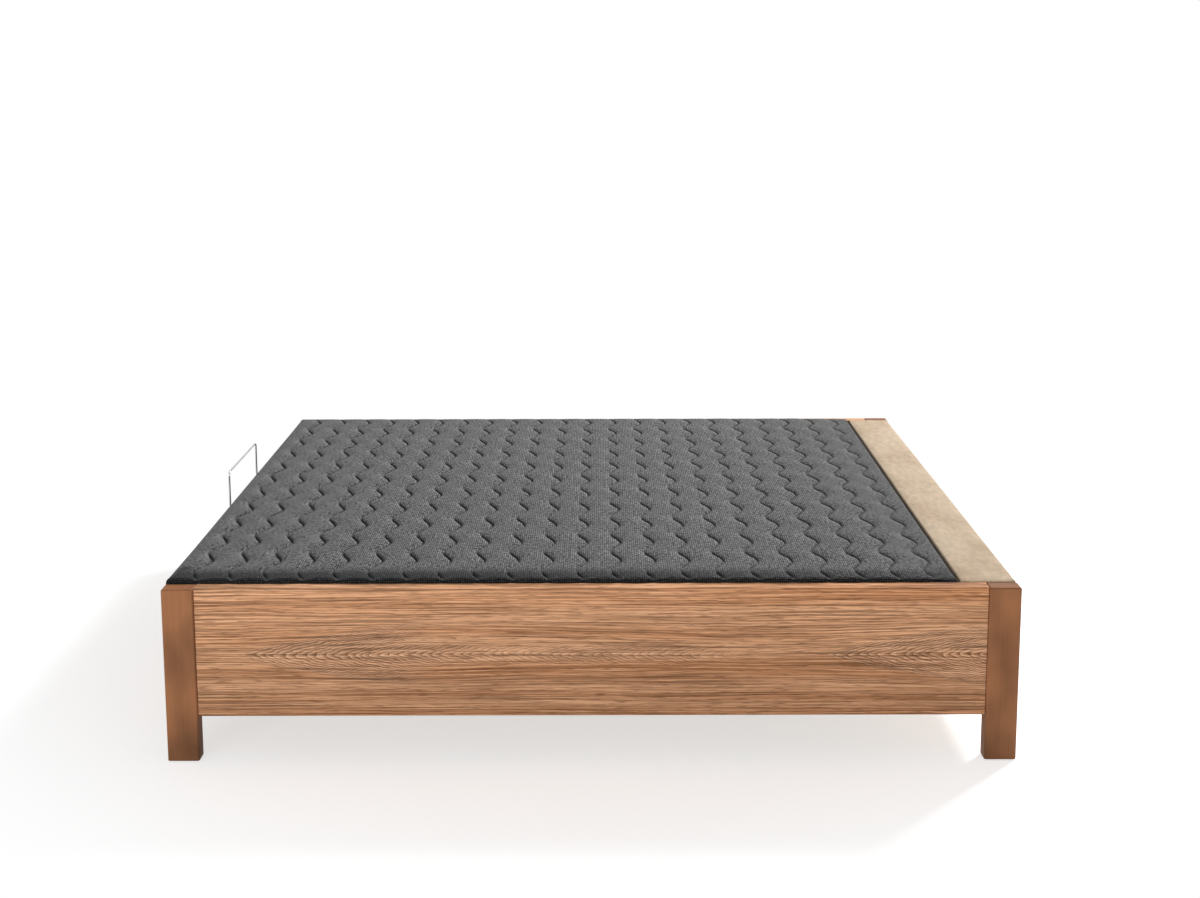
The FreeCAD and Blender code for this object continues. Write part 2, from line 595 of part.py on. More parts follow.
def make_head_deck():
    """The fixed upholstered board at the head end, and the rail that carries its inner edge."""
    box(
        "head_deck_board",
        (f"({DECK_FOOT} + Sizes.deck_wrap)", f"(Sizes.deck_wrap - {DECK_SIDE})", DECK_UNDER),
        (
            "(Sizes.deck_width - 2 * Sizes.deck_wrap)",
            f"(2 * ({DECK_SIDE} - Sizes.deck_wrap))",
            "Sizes.deck_board_thickness",
        ),
    )
    body = new_body("head_deck_cover")
    outline = new_sketch(body, "XY_Plane")
    rectangle(outline, "0", f"(-{DECK_SIDE})", "Sizes.deck_width", DECK_SIDE)
    pad(body, outline, "(Sizes.deck_board_thickness + Sizes.deck_pad)")
    dress(body, "Fillet", "Radius", "Sizes.deck_round", lambda edge: edge.ZMin > 0)
    hollow = new_sketch(body, "XY_Plane")
    wrap = "Sizes.deck_wrap"
    rectangle(
        hollow, wrap, f"({wrap} - {DECK_SIDE})", f"(Sizes.deck_width - {wrap})", f"({DECK_SIDE} - {wrap})"
    )
    pocket(body, hollow, "Sizes.deck_board_thickness", reverse=True)
    place(body, DECK_FOOT, "0", DECK_UNDER)
    reach = f"({SIDE_FACE} - Sizes.joint_gap)"
    box(
        "head_deck_rail",
        (f"({DECK_FOOT} + {wrap})", f"(-{reach})", f"({DECK_UNDER} - Sizes.deck_rail_height)"),
        ("Sizes.deck_rail_thickness", f"(2 * {reach})", "Sizes.deck_rail_height"),
    )


LEDGER_FOOT = f"(Sizes.joint_gap - {END_FACE})"
LEDGER_HEAD = f"({PIVOT_X} + {UPPER_STUD_X} - Sizes.ledger_stop)"


def make_ledgers():
    """Ledgers inside the side panels, a step below the frame top."""
    for side_name, side in SIDES:
        low_y = f"(-{SIDE_FACE})" if side == FRONT else f"({SIDE_FACE} - Sizes.ledger_width)"
        box(
            f"ledger_{side_name}",
            (LEDGER_FOOT, low_y, f"({REST_LEVEL} - Sizes.ledger_height)"),
            (f"({LEDGER_HEAD} - {LEDGER_FOOT})", "Sizes.ledger_width", "Sizes.ledger_height"),
        )


def evenly(first, last, count):
    """Evenly spaced values between two numbers."""
    return [first + (last - first) * k / (count - 1) for k in range(count)]


def make_bumpers():
    """Rubber bumpers on the ledgers and on the foot panel, which carry the closed platform."""
    height = number("(Sizes.bumper_height - Sizes.rest_clearance)")
    size = number("Sizes.bumper_size")
    margin = number("Sizes.bumper_margin")
    top = number(REST_LEVEL)
    ledger_y = number(f"({SIDE_FACE} - Sizes.ledger_width / 2)")
    foot_x = -number(f"({END_FACE} + Sizes.end_panel_thickness / 2)")
    rows = evenly(number(LEDGER_FOOT) + margin, number(LEDGER_HEAD) - margin, LEDGER_BUMPERS)
    places = [(x, side * ledger_y) for side_name, side in SIDES for x in rows]
    leg = number("Sizes.retainer_width / 2")
    reach = number(SIDE_FACE) - leg
    places += [(foot_x, side * (leg + share * reach)) for side_name, side in SIDES for share in FOOT_BUMPER_SHARES]
    group("platform_bumpers", [upright_block(x, y, top, (size, size, height)) for x, y in places])


def make_platform_frame():
    """The board's side rails and cross rails."""
    width = "Sizes.rail_width"
    for side_name, side in SIDES:
        body = new_body(f"platform_rail_{side_name}")
        outline = new_sketch(body, "XZ_Plane")
        rectangle(outline, "0", "0", f"({RAIL_HEAD} - {RAIL_FOOT})", "Sizes.rail_height")
        pad(body, outline, width, reverse=side == FRONT)
        holes = new_sketch(body, "XZ_Plane")
        for x, z in ARM_BOLTS:
            bolt_hole(holes, f"({PIVOT_X} + {x} - {RAIL_FOOT})", f"({PIVOT_Z} + {z} - {RAIL_UNDER})")
        pocket(body, holes, ARM_BOLT_DEPTH, reverse=side == BACK)
        place(body, RAIL_FOOT, signed(side, RAIL_FACE), RAIL_UNDER)
    reach = f"({RAIL_FACE} - {width} - Sizes.joint_gap)"
    first = f"(Sizes.cross_rail_inset - {HALF_LENGTH})"
    step = f"(({RAIL_HEAD} - {width} - {first}) / {CROSS_RAIL_COUNT - 1})"
    for k in range(CROSS_RAIL_COUNT):
        box(
            f"cross_rail_{k + 1}",
            (f"({first} + {k} * {step})", f"(-{reach})", RAIL_UNDER),
            (width, f"(2 * {reach})", "Sizes.rail_height"),
        )


def make_platform_board():
    """The board under the quilted cover."""
    wrap = "Sizes.cover_wrap"
    return box(
        "platform_board",
        (f"({wrap} - {HALF_LENGTH})", f"({wrap} - {COVER_SIDE})", BOARD_UNDER),
        (
            f"({COVER_HEAD} + {HALF_LENGTH} - 2 * {wrap})",
            f"(2 * ({COVER_SIDE} - {wrap}))",
            "Sizes.board_thickness",
        ),
    )


def cover_rows():
    """Rows across the cover: place, shift of the seams, tucked lower edge and share of the rise."""
    side = number(COVER_SIDE)
    roll = number("Sizes.pad_roll")
    wave = number("Sizes.wave_length")
    height = number("Sizes.wave_height")
    crossing = number("Sizes.wave_start") - side

    def shift(y):
        return -height * math.sin(2 * math.pi * (y - crossing) / wave)

    edge = [(-side, True, 0)]
    edge += [(-side + share * roll, False, rise) for share, rise in ROLL_SHARES]
    near_edge = [(y, shift(y), tucked, rise) for y, tucked, rise in edge]
    far_edge = [(-y, shift(-y), tucked, rise) for y, tucked, rise in reversed(edge)]
    inner = []
    for k in range(math.ceil(2 * side / wave)):
        for share, turn in WAVE_TURNS:
            y = crossing + (k + share) * wave
            if abs(y) < side - roll - wave / 8:
                inner.append((y, turn * height, False, 1))
    return near_edge + inner + far_edge


def cover_section(y, shift, tucked, rise):
    """Outline of the cover along one row: underside, tucked edges, rolled ends and a crown between seams."""
    x0, x1 = -number(HALF_LENGTH), number(COVER_HEAD)
    under = number(BOARD_UNDER)
    tuck = number("Sizes.pad_tuck")
    tuck_top = under + number("Sizes.pad_tuck_height")
    band = under + number("Sizes.pad_band")
    crest = band + rise * (number(f"({BOARD_TOP} + Sizes.pad_thickness)") - band)
    seam_z = crest - rise * number("Sizes.quilt_depth")
    roll = number("Sizes.pad_roll")
    first = x0 + number("Sizes.seam_foot_margin") + shift
    last = x1 - number("Sizes.seam_head_margin") + shift
    seams = evenly(first, last, SEAM_COUNT)
    crown_start, crown_end = CROWN_SHARES
    foot_roll = [(x0 + share * roll, band + part * (crest - band)) for share, part in ROLL_SHARES]
    head_roll = [(x1 + x0 - x, z) for x, z in reversed(foot_roll)]
    outline = [(x0, band)] + foot_roll + [((x0 + roll + first) / 2, crest)]
    for seam, following in zip(seams, seams[1:]):
        land = following - seam
        outline += [(seam, seam_z), (seam + crown_start * land, crest), (seam + crown_end * land, crest)]
    outline += [(last, seam_z), ((last + x1 - roll) / 2, crest)] + head_roll + [(x1, band)]
    lower = tuck_top if tucked else under
    outline += [(x1, tuck_top), (x1 - tuck, lower), (x0 + tuck, lower), (x0, tuck_top)]
    corners = [FreeCAD.Vector(x, y, z) for x, z in outline]
    return Part.makePolygon(corners + corners[:1])


def make_quilted_cover(board):
    """The quilted cover, lofted row by row across the bed and hollowed for the board."""
    sections = [cover_section(*row) for row in cover_rows()]
    loft = Part.makeLoft(sections, True, True)
    doc.recompute()
    feature = doc.addObject("Part::Feature", "quilted_cover")
    feature.Shape = loft.cut(board.Shape)
    feature.Placement = FreeCAD.Placement()
    piece(feature, "quilted_cover")


def add_bar(body, outline, centre, radius, offset, length, reverse):
    """A round or hexagonal bar across the bed, which starts at an offset from the body's own XZ plane."""
    sketch = new_sketch(body, "XZ_Plane")
    outline(sketch, *centre, radius)
    sketch.setExpression("AttachmentOffset.Base.z", f"-{offset}" if reverse else offset)
    pad(body, sketch, length, reverse=reverse)


def add_stud(body, centre, plate, reverse):
    """A stud on a plate's face: collar, neck through the strut's eye and nut."""
    eye = "(Sizes.eye_width / 2 + Sizes.side_clearance)"
    collar = f"(Sizes.strut_room / 2 - {eye} + {plate})"
    neck = f"({collar} + 2 * {eye})"
    add_bar(body, circle, centre, "Sizes.stud_collar_radius", "0", collar, reverse)
    add_bar(body, circle, centre, "Sizes.stud_radius", "0", neck, reverse)
    add_bar(body, hexagon, centre, "Sizes.stud_nut_radius", neck, "Sizes.stud_nut_height", reverse)


def make_frame_plate(side_name, side):
    """Steel plate on the side panel, with the pivot at its origin and the strut's lower stud riveted in."""
    body = new_body(f"frame_plate_{side_name}")
    outline = new_sketch(body, "XZ_Plane")
    margin = "Sizes.frame_plate_margin"
    rounded_outline(outline, (
        ("0", "0", "Sizes.plate_nose"), (LOWER_STUD_X, LOWER_STUD_Z, margin), (PLATE_FOOT_X, LOWER_STUD_Z, margin),
    ))
    pad(body, outline, "Sizes.frame_plate", reverse=side == FRONT)
    holes = new_sketch(body, "XZ_Plane")
    circle(holes, "0", "0", "(Sizes.pivot_radius + Sizes.running_clearance)")
    for x, z in PLATE_BOLTS:
        bolt_hole(holes, x, z)
    pocket(body, holes, "Sizes.frame_plate", reverse=side == BACK)
    add_stud(body, (LOWER_STUD_X, LOWER_STUD_Z), "Sizes.frame_plate", side == FRONT)
    place(body, PIVOT_X, signed(side, SIDE_FACE), PIVOT_Z)


def make_lift_arm(side_name, side):
    """Steel arm on the platform's side rail, with the pivot at its origin and the strut's upper stud riveted in."""
    body = new_body(f"lift_arm_{side_name}")
    outline = new_sketch(body, "XZ_Plane")
    nose = "Sizes.plate_nose"
    tail = f"({UPPER_STUD_X} - Sizes.arm_tail)"
    rounded_outline(outline, (
        ("0", "0", nose), (tail, "0", nose), (tail, ARM_BOLT_Z, nose), ("(-Sizes.arm_neck)", ARM_BOLT_Z, nose),
    ))
    pad(body, outline, "Sizes.arm_plate", reverse=side == BACK)
    holes = new_sketch(body, "XZ_Plane")
    circle(holes, "0", "0", "(Sizes.pivot_radius + Sizes.running_clearance)")
    for x, z in ARM_BOLTS:
        bolt_hole(holes, x, z)
    pocket(body, holes, "Sizes.arm_plate", reverse=side == FRONT)
    add_stud(body, (UPPER_STUD_X, UPPER_STUD_Z), "Sizes.arm_plate", side == BACK)
    place(body, PIVOT_X, signed(side, RAIL_FACE), PIVOT_Z)


def make_plate_bolts():
    """Bolts of the frame plates and of the lift arms."""
    frame_bolts = []
    arm_bolts = []
    for side_name, side in SIDES:
        for x, z in PLATE_BOLTS:
            seat = vector(f"({PIVOT_X} + {x})", signed(side, PLATE_FACE), f"({PIVOT_Z} + {z})")
            frame_bolts.append(hexagon_bolt(seat, (0, side, 0)))
        for x, z in ARM_BOLTS:
            seat = vector(f"({PIVOT_X} + {x})", signed(side, ARM_FACE), f"({PIVOT_Z} + {z})")
            arm_bolts.append(hexagon_bolt(seat, (0, -side, 0)))
    group("frame_plate_bolts", frame_bolts)
    group("lift_arm_bolts", arm_bolts)


def make_pivot(side_name, side):
    """Pivot pin through frame plate, bush and lift arm, with a hexagon head inside the arm."""
    body = new_body(f"pivot_pin_{side_name}")
    length = "(Sizes.frame_plate + Sizes.strut_room + Sizes.arm_plate + Sizes.side_clearance)"
    centre = ("0", "0")
    inward = side == FRONT
    add_bar(body, circle, centre, "Sizes.pivot_radius", "0", length, inward)
    add_bar(body, hexagon, centre, "Sizes.pivot_head_radius", length, "Sizes.pivot_head_height", inward)
    place(body, PIVOT_X, signed(side, SIDE_FACE), PIVOT_Z)


def make_pivot_bushes():
    """Spacer bushes on the pivot pins, between frame plate and lift arm."""
    bushes = []
    length = number("(Sizes.strut_room - Sizes.side_clearance)")
    for side_name, side in SIDES:
        start = vector(PIVOT_X, signed(side, PLATE_FACE), PIVOT_Z)
        end = start - FreeCAD.Vector(0, side * length, 0)
        bore = number("(Sizes.pivot_radius + Sizes.running_clearance)")
        bushes.append(rod_between(start, end, number("Sizes.bush_radius")).cut(rod_between(start, end, bore)))
    group("pivot_bushes", bushes)


TUBE_LENGTH = f"({STRUT_CLOSED} - Sizes.tube_offset - Sizes.rod_reserve)"
ROD_TIP = f"({STRUT_CLOSED} - Sizes.tube_offset - Sizes.tube_base - Sizes.side_clearance)"


def add_eye(body):
    """An eye across a strut's end, bored for its stud."""
    half = "(Sizes.eye_width / 2)"
    ring = new_sketch(body, "XZ_Plane")
    circle(ring, "0", "0", "Sizes.eye_radius")
    feature = pad(body, ring, "Sizes.eye_width")
    feature.Midplane = True
    bore = new_sketch(body, "XZ_Plane")
    circle(bore, "0", "0", "(Sizes.stud_radius + Sizes.running_clearance)")
    doc.recompute()
    before = body.Shape.Volume
    cut = body.newObject("PartDesign::Pocket", "Bore")
    cut.Profile = bore
    cut.setExpression("Length", f"(2 * {half})")
    cut.Midplane = True
    doc.recompute()
    if not body.Shape.Volume < before:
        raise RuntimeError(f"{body.Label}: the eye has no bore")


def make_strut_cylinder(side_name, side):
    """Gas cylinder hanging from its eye on the upper stud, open at its lower end for the rod."""
    body = new_body(f"strut_cylinder_{side_name}")
    profile = new_sketch(body, "XZ_Plane")
    top = "(-Sizes.tube_offset)"
    bottom = f"({top} - {TUBE_LENGTH})"
    ceiling = f"({top} - Sizes.tube_base)"
    bore = "(Sizes.rod_radius + Sizes.rod_clearance)"
    polygon(profile, (
        ("0", top),
        ("Sizes.tube_radius", top),
        ("Sizes.tube_radius", bottom),
        (bore, bottom),
        (bore, ceiling),
        ("0", ceiling),
    ))
    revolve(body, profile)
    add_eye(body)
    place(
        body,
        f"({PIVOT_X} + {UPPER_STUD_X})",
        signed(side, STRUT_PLANE),
        f"({PIVOT_Z} + {UPPER_STUD_Z})",
        STRUT_TILT,
    )


def make_strut_rod(side_name, side):
    """Piston rod standing in its eye on the lower stud and reaching up into the cylinder."""
    body = new_body(f"strut_rod_{side_name}")
    profile = new_sketch(body, "XZ_Plane")
    root = "(3 * Sizes.eye_radius / 4)"
    polygon(profile, (("0", root), ("Sizes.rod_radius", root), ("Sizes.rod_radius", ROD_TIP), ("0", ROD_TIP)))
    revolve(body, profile)
    add_eye(body)
    place(
        body,
        f"({PIVOT_X} + {LOWER_STUD_X})",
        signed(side, STRUT_PLANE),
        f"({PIVOT_Z} + {LOWER_STUD_Z})",
        STRUT_TILT,
    )


def wire_path(corners, radii):
    """Straight runs through the corners, joined by tangent arcs of the given radii."""
    edges = []
    start = corners[0]
    for before, corner, after, radius in zip(corners, corners[1:], corners[2:], radii):
        back = (before - corner).normalize()
        ahead = (after - corner).normalize()
        half = back.getAngle(ahead) / 2
        reach = radius / math.tan(half)
        into, out = corner + back * reach, corner + ahead * reach
        middle = corner + (back + ahead).normalize() * (radius / math.sin(half) - radius)
        edges.append(Part.LineSegment(start, into).toShape())
        edges.append(Part.Arc(into, middle, out).toShape())
        start = out
    edges.append(Part.LineSegment(start, corners[-1]).toShape())
    return Part.Wire(edges)


def make_retainer():
    """Bent wire that stands up at the middle of the foot edge and keeps the mattress in place."""
    leg = number("Sizes.retainer_width / 2")
    low = number(WIRE_Z)
    high = number(f"({FRAME_TOP} + Sizes.retainer_height - Sizes.wire_radius)")
    outer = number(WIRE_X)
    inner = number(f"(Sizes.retainer_foot - {HALF_LENGTH})")
    corners = [
        FreeCAD.Vector(*place)
        for place in (
            (inner, -leg, low), (outer, -leg, low), (outer, -leg, high),
            (outer, leg, high), (outer, leg, low), (inner, leg, low),
        )
    ]
    foot_bend = number("Sizes.retainer_foot_bend")
    bend = number("Sizes.retainer_bend")
    path = wire_path(corners, (foot_bend, bend, bend, foot_bend))
    radius = number("Sizes.wire_radius")
    end = Part.Wire(Part.makeCircle(radius, corners[0], FreeCAD.Vector(1, 0, 0)))
    wire = path.makePipe(Part.Face(end))
    feature = doc.addObject("Part::Feature", "mattress_retainer")
    feature.Shape = wire
    feature.Placement = FreeCAD.Placement()
    piece(feature, "mattress_retainer")


def saddle_clip(x, y):
    """A bent strip that holds the wire's foot up against the board."""
    sheet_thickness = number("Sizes.clip_thickness")
    inner = number("(Sizes.wire_radius + Sizes.wire_clearance)")
    outer = inner + sheet_thickness
    half = number("Sizes.clip_width / 2")
    top = number(BOARD_UNDER)
    flange = top - sheet_thickness
    saddle = number(WIRE_Z) - inner
    outline = (
        (-half, top), (-half, flange), (-outer, flange), (-outer, saddle - sheet_thickness),
        (outer, saddle - sheet_thickness), (outer, flange), (half, flange), (half, top),
        (inner, top), (inner, saddle), (-inner, saddle), (-inner, top),
    )
    corners = [FreeCAD.Vector(x, y + across, z) for across, z in outline]
    face = Part.Face(Part.makePolygon(corners + corners[:1]))
    return face.extrude(FreeCAD.Vector(number("Sizes.clip_length"), 0, 0))


def make_retainer_clips():
    """One saddle clip near the end of each of the retainer's feet."""
    leg = number("Sizes.retainer_width / 2")
    x = number(f"(Sizes.retainer_foot - {HALF_LENGTH} - Sizes.clip_margin - Sizes.clip_length)")
    group("retainer_clips", [saddle_clip(x, side * leg) for side_name, side in SIDES])


for end_name, end in ENDS:
    for side_name, side in SIDES:
        make_post(end_name, end, side_name, side)
        make_corner_bracket(end_name, end, side_name, side)
for side_name, side in SIDES:
    make_side_panel(side_name, side)
make_end_panel("foot", FOOT, f"({REST_LEVEL} - Sizes.under_clearance)")
make_end_panel("head", HEAD, f"({DECK_UNDER} - Sizes.under_clearance)")
make_corner_bolts()
make_glides()
make_storage_floor()
make_head_deck()
make_ledgers()
make_bumpers()
make_platform_frame()
make_quilted_cover(make_platform_board())
for side_name, side in SIDES:
    make_frame_plate(side_name, side)
    make_lift_arm(side_name, side)
    make_pivot(side_name, side)
    make_strut_cylinder(side_name, side)
    make_strut_rod(side_name, side)
make_plate_bolts()
make_pivot_bushes()
make_retainer()
make_retainer_clips()

doc.recompute()
for obj in doc.Objects:
    if "Invalid" in obj.State or "Error" in obj.State:
        raise RuntimeError(f"{obj.Label}: {obj.State}")
for obj in pieces:
    if obj.Shape.isNull() or not obj.Shape.isValid():
        raise RuntimeError(f"{obj.Label}: no valid shape")

os.makedirs("parts", exist_ok=True)
for obj in pieces:
    obj.Shape.exportStep(os.path.join("parts", f"{obj.Label}.step"))
print(len(pieces), "sub-parts written")
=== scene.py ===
"""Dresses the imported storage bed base: quilted cover, covered head strip, walnut frame,
lift hardware and stage."""

import math

import bmesh
import bpy
import numpy as np
from bpy.props import FloatProperty, FloatVectorProperty, IntProperty, PointerProperty
from mathutils import Matrix, Vector, noise


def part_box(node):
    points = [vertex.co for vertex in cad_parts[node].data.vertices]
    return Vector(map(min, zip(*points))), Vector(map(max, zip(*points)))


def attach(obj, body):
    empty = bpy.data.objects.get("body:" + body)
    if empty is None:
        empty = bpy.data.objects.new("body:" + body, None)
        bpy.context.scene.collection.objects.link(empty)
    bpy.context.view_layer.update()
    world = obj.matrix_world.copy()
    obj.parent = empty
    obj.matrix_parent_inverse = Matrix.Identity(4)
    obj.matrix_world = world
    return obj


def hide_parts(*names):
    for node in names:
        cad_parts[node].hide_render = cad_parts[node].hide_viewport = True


bl_info = {
    "name": "Storage Bed Base",
    "version": (1, 0, 0),
    "blender": (4, 5, 0),
    "location": "View3D > Sidebar > Bed Base",
    "description": "Dresses the packed storage bed base with its cloth, wood and metal finishes",
    "category": "Object",
}

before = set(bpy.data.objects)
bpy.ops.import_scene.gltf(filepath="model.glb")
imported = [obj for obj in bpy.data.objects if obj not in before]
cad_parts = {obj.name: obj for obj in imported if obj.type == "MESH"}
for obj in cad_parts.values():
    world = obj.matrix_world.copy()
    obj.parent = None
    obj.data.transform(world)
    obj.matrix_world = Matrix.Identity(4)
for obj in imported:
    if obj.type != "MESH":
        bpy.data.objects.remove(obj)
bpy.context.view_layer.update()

# Image and camera, from the fit to the photograph's corners
IMAGE_WIDTH = 1200
SENSOR_WIDTH = 36.0
CAMERA_PLACE = (0.0271, -4.1578, 1.7514)
CAMERA_YAW = -0.0009
CAMERA_PITCH = 0.1322
CAMERA_ROLL = 0.0025
FOCAL_PIXELS = 1387.75
SHIFT_PIXELS = -200.0
# Floor: how much the eye sees it lifted, and where its shadow has faded to plain white
FLOOR_LIFT = 0.58
SHADOW_REACH = 1.2
WHITE_REACH = 2.2
FLOOR_REACH = 40.0
# Light: the white room's strength as light, then each lamp's name, place, aim, size and watts
ROOM_LIGHT = 0.26
LAMPS = (
    ("key from the back right", (7.6, 6.6, 7.2), (0.0, 0.0, 0.45), (2.6, 2.6), 1760.0),
    ("low fill from the front", (-2.6, -5.9, 0.6), (0.0, -0.84, 0.25), (5.0, 0.6), 156.0),
)

# Cloth meshes: where a channel's columns lie from its seam to its crown, columns past the outer seams,
# the fan at a corner and how square it is, the rings of an edge's quarter turn
LAND_SHARES = (0.0, 0.04, 0.1, 0.19, 0.32, 0.48, 0.66, 0.84)
END_COLUMNS = 8
CORNER_STEPS = 6
CORNER_SQUARENESS = 0.35
ROLL_TURNS = (0.2, 0.4, 0.6, 0.8, 1.0)
# Cloth simulation
SHEET_FRAMES = 14
CLOTH_QUALITY = 4
CLOTH_STIFFNESS = 12.0
CLOTH_BENDING = 0.4
# Layer of the noise that gives the filling's unevenness
UNEVEN_LAYER = 3.7

# A channel beside its seam, on the head side and on the foot side: share of the height that the long slope
# takes, the length of that slope; then the length of the steep part, and the reach of the painted seam
# shading:
# painted shade on the head side, a painted highlight on the foot side
LONG_SHARES = (0.72, 0.3)
LONG_SLOPES = (0.014, 0.008)
STEEP_SLOPE = 0.0028
SHADING_REACHES = (0.012, 0.024)
# Seams are drawn in where they slant one way: share at no slant, and how slowly it changes with the slant
DRAWN_MIDDLE = 0.5
DRAWN_SPAN = 9
# Share of a seam's depth left where it is drawn in least, over most of the cover and at the head;
# from where to where along the bed it changes
SEAM_EASE = 0.7
HEAD_EASE = 0.95
HEAD_EASE_RUN = (0.2, 0.8)
# Seams run out towards the back edge: over what width, and to what share of their depth
BACK_RUN_OUT = 0.06
BACK_SHARE = 0.15
# Room for the swell below the CAD cover's top, spacing and height of the filling's unevenness, least cloth
# over the board
COVER_ROOM = 0.0028
COVER_UNEVEN = (0.09, 0.0006)
LEAST_COVER = 0.0008
# The cover's hem above its underside, and how far its last ring is tucked in
COVER_HEM = (0.0035, 0.002)
HEM_END = 0.0005
HEM_TUCK = 0.001
# How far a stitch lies above its seam, in threads
THREAD_LIFT = 0.3
# The head strip: room below the CAD cover's top, two sizes of unevenness, and its hem
STRIP_ROOM = 0.0012
STRIP_UNEVEN = ((0.16, 0.0007), (0.05, 0.0003))
STRIP_HEM = (0.006, HEM_END)

# Knit: its pitch; the rise up to which the painted shade in a seam reaches, the share in it of the painted
# shade on the seam's head side; and the rise from which the painted highlight on its foot side starts
KNIT_PITCH = 0.0056
SEAM_SHADE_RISE = 0.52
SEAM_SHADE_SHARE = 0.7
HIGHLIGHT_RISE = 0.5
# Painted shade towards the cover's edges, in shoulders from the edge: at the front, where it gets weaker
# from one place along the bed to another, and elsewhere
FRONT_SHADE = 1.75
FRONT_FADE_RUN = (-0.4, 0.7)
FRONT_STRENGTHS = (1.0, 0.72)
SIDE_SHADE = 1.15
SIDE_STRENGTH = 0.4
# Darker towards the head, and the painted dark band below the edge, where the rolled edge lies in shade: how
# far down it is full, its share at the head end, and how long that end is
HEAD_SHADE = 0.2
HEAD_SHADE_REACH = 0.6
BORDER_START = 0.0005
BORDER_BLEND = 0.003
HEAD_BORDER = 0.2
HEAD_BORDER_REACH = 0.02

# Walnut figure, repeated along the bed: tip of a heart, how often it repeats, its height, the slant and the
# rounding of its sides, its chevrons
HEART_TIP = -0.9
HEART_REPEAT = 1.475
HEART_HEIGHT = 0.283
HEART_SLANT = 2.7
HEART_ROUND = 30.0
HEART_PITCH = 0.025
# Growth lines beside the hearts
RINGS_PER_METRE = 110.0
# Heights of the laminate's pale bands and dark lines, with their width and strength
PALE_BANDS = (0.393, 0.2)
PALE_WIDTH = 0.022
PALE_STRENGTH = 0.75
DARK_LINES = (0.412, 0.364, 0.221, 0.178)
DARK_WIDTH = 0.007
DARK_STRENGTH = 0.42

# Nodes by finish
POSTS = ("post_front_foot", "post_front_head", "post_back_foot", "post_back_head")
PANELS = ("side_panel_front", "side_panel_back", "foot_end_panel", "head_end_panel")
BOARDS = ("storage_floor_front", "storage_floor_back", "platform_board", "head_deck_board")
CROSS_RAILS = tuple(f"cross_rail_{i}" for i in range(1, 7))
RAILS = (
    "floor_rail_front", "floor_rail_back", "floor_rail_foot", "floor_rail_head", "centre_beam",
    "centre_leg_foot", "centre_leg_head", "head_deck_rail", "ledger_front", "ledger_back",
    "platform_rail_front", "platform_rail_back", *CROSS_RAILS,
)
PAINTED = (
    "corner_bracket_front_foot", "corner_bracket_front_head", "corner_bracket_back_foot",
    "corner_bracket_back_head", "frame_plate_front", "frame_plate_back", "lift_arm_front",
    "lift_arm_back",
)
PLATED = (
    "corner_bolts", "frame_plate_bolts", "lift_arm_bolts", "pivot_pin_front", "pivot_pin_back",
    "retainer_clips",
)
CYLINDERS = ("strut_cylinder_front", "strut_cylinder_back")
CHROMED = ("strut_rod_front", "strut_rod_back", "mattress_retainer")


# ---- Sizes and colours that a user would change ----


class QuiltSizes(bpy.types.PropertyGroup):
    """Sizes of the quilted cover and its sewing."""

    seam_count: IntProperty(name="Seams", description="Wavy seams across the cover", default=22, min=2)
    first_seam: FloatProperty(
        name="First seam", description="Place of the seam nearest the foot", default=-1.00435, unit="LENGTH"
    )
    seam_pitch: FloatProperty(
        name="Seam pitch", description="From one seam to the next", default=0.08902, unit="LENGTH"
    )
    wave_length: FloatProperty(
        name="Wave length", description="One full wave along a seam", default=0.1402, unit="LENGTH"
    )
    wave_reach: FloatProperty(
        name="Wave reach", description="How far a seam swings to each side", default=0.013, unit="LENGTH"
    )
    wave_start: FloatProperty(
        name="Wave start", description="Where the waves begin", default=-0.6419, unit="LENGTH"
    )
    seam_depth: FloatProperty(
        name="Seam depth", description="Crown of a channel above its seams", default=0.0102, unit="LENGTH"
    )
    row_pitch: FloatProperty(
        name="Row pitch", description="Cloth mesh along a seam", default=0.0072, unit="LENGTH"
    )
    shoulder: FloatProperty(
        name="Shoulder", description="Width over which the cover slopes to its edge", default=0.042,
        unit="LENGTH",
    )
    shoulder_drop: FloatProperty(
        name="Shoulder drop", description="Crown of the cover above its edge", default=0.004, unit="LENGTH"
    )
    lip: FloatProperty(name="Lip", description="Rounding of the cover's edge", default=0.01, unit="LENGTH")
    lip_height: FloatProperty(
        name="Lip height", description="Height of the edge's rounding", default=0.0125, unit="LENGTH"
    )
    head_slack: FloatProperty(
        name="Head slack", description="How far the filling thins towards the head", default=0.004,
        unit="LENGTH",
    )
    head_reach: FloatProperty(
        name="Head reach", description="Over which it thins", default=0.3, unit="LENGTH"
    )
    swell: FloatProperty(
        name="Swell", description="Most that the filling moves the cloth", default=0.0032, unit="LENGTH"
    )
    pressure: FloatProperty(name="Pressure", description="Filling's push on the cloth", default=4.0)
    stitch: FloatProperty(name="Stitch", description="Length of a stitch", default=0.0046, unit="LENGTH")
    stitch_gap: FloatProperty(
        name="Stitch gap", description="Between two stitches", default=0.0018, unit="LENGTH"
    )
    thread: FloatProperty(name="Thread", description="Thread's diameter", default=0.0012, unit="LENGTH")


class DeckSizes(bpy.types.PropertyGroup):
    """Sizes of the covered strip at the head."""

    edge: FloatProperty(name="Edge", description="Rounding of the strip's edge", default=0.005, unit="LENGTH")
    mesh_pitch: FloatProperty(
        name="Mesh pitch", description="Cloth mesh on the strip", default=0.0075, unit="LENGTH"
    )
    swell: FloatProperty(
        name="Swell", description="Most that the wadding moves the cloth", default=0.0012, unit="LENGTH"
    )
    pressure: FloatProperty(name="Pressure", description="Wadding's push on the cloth", default=2.0)


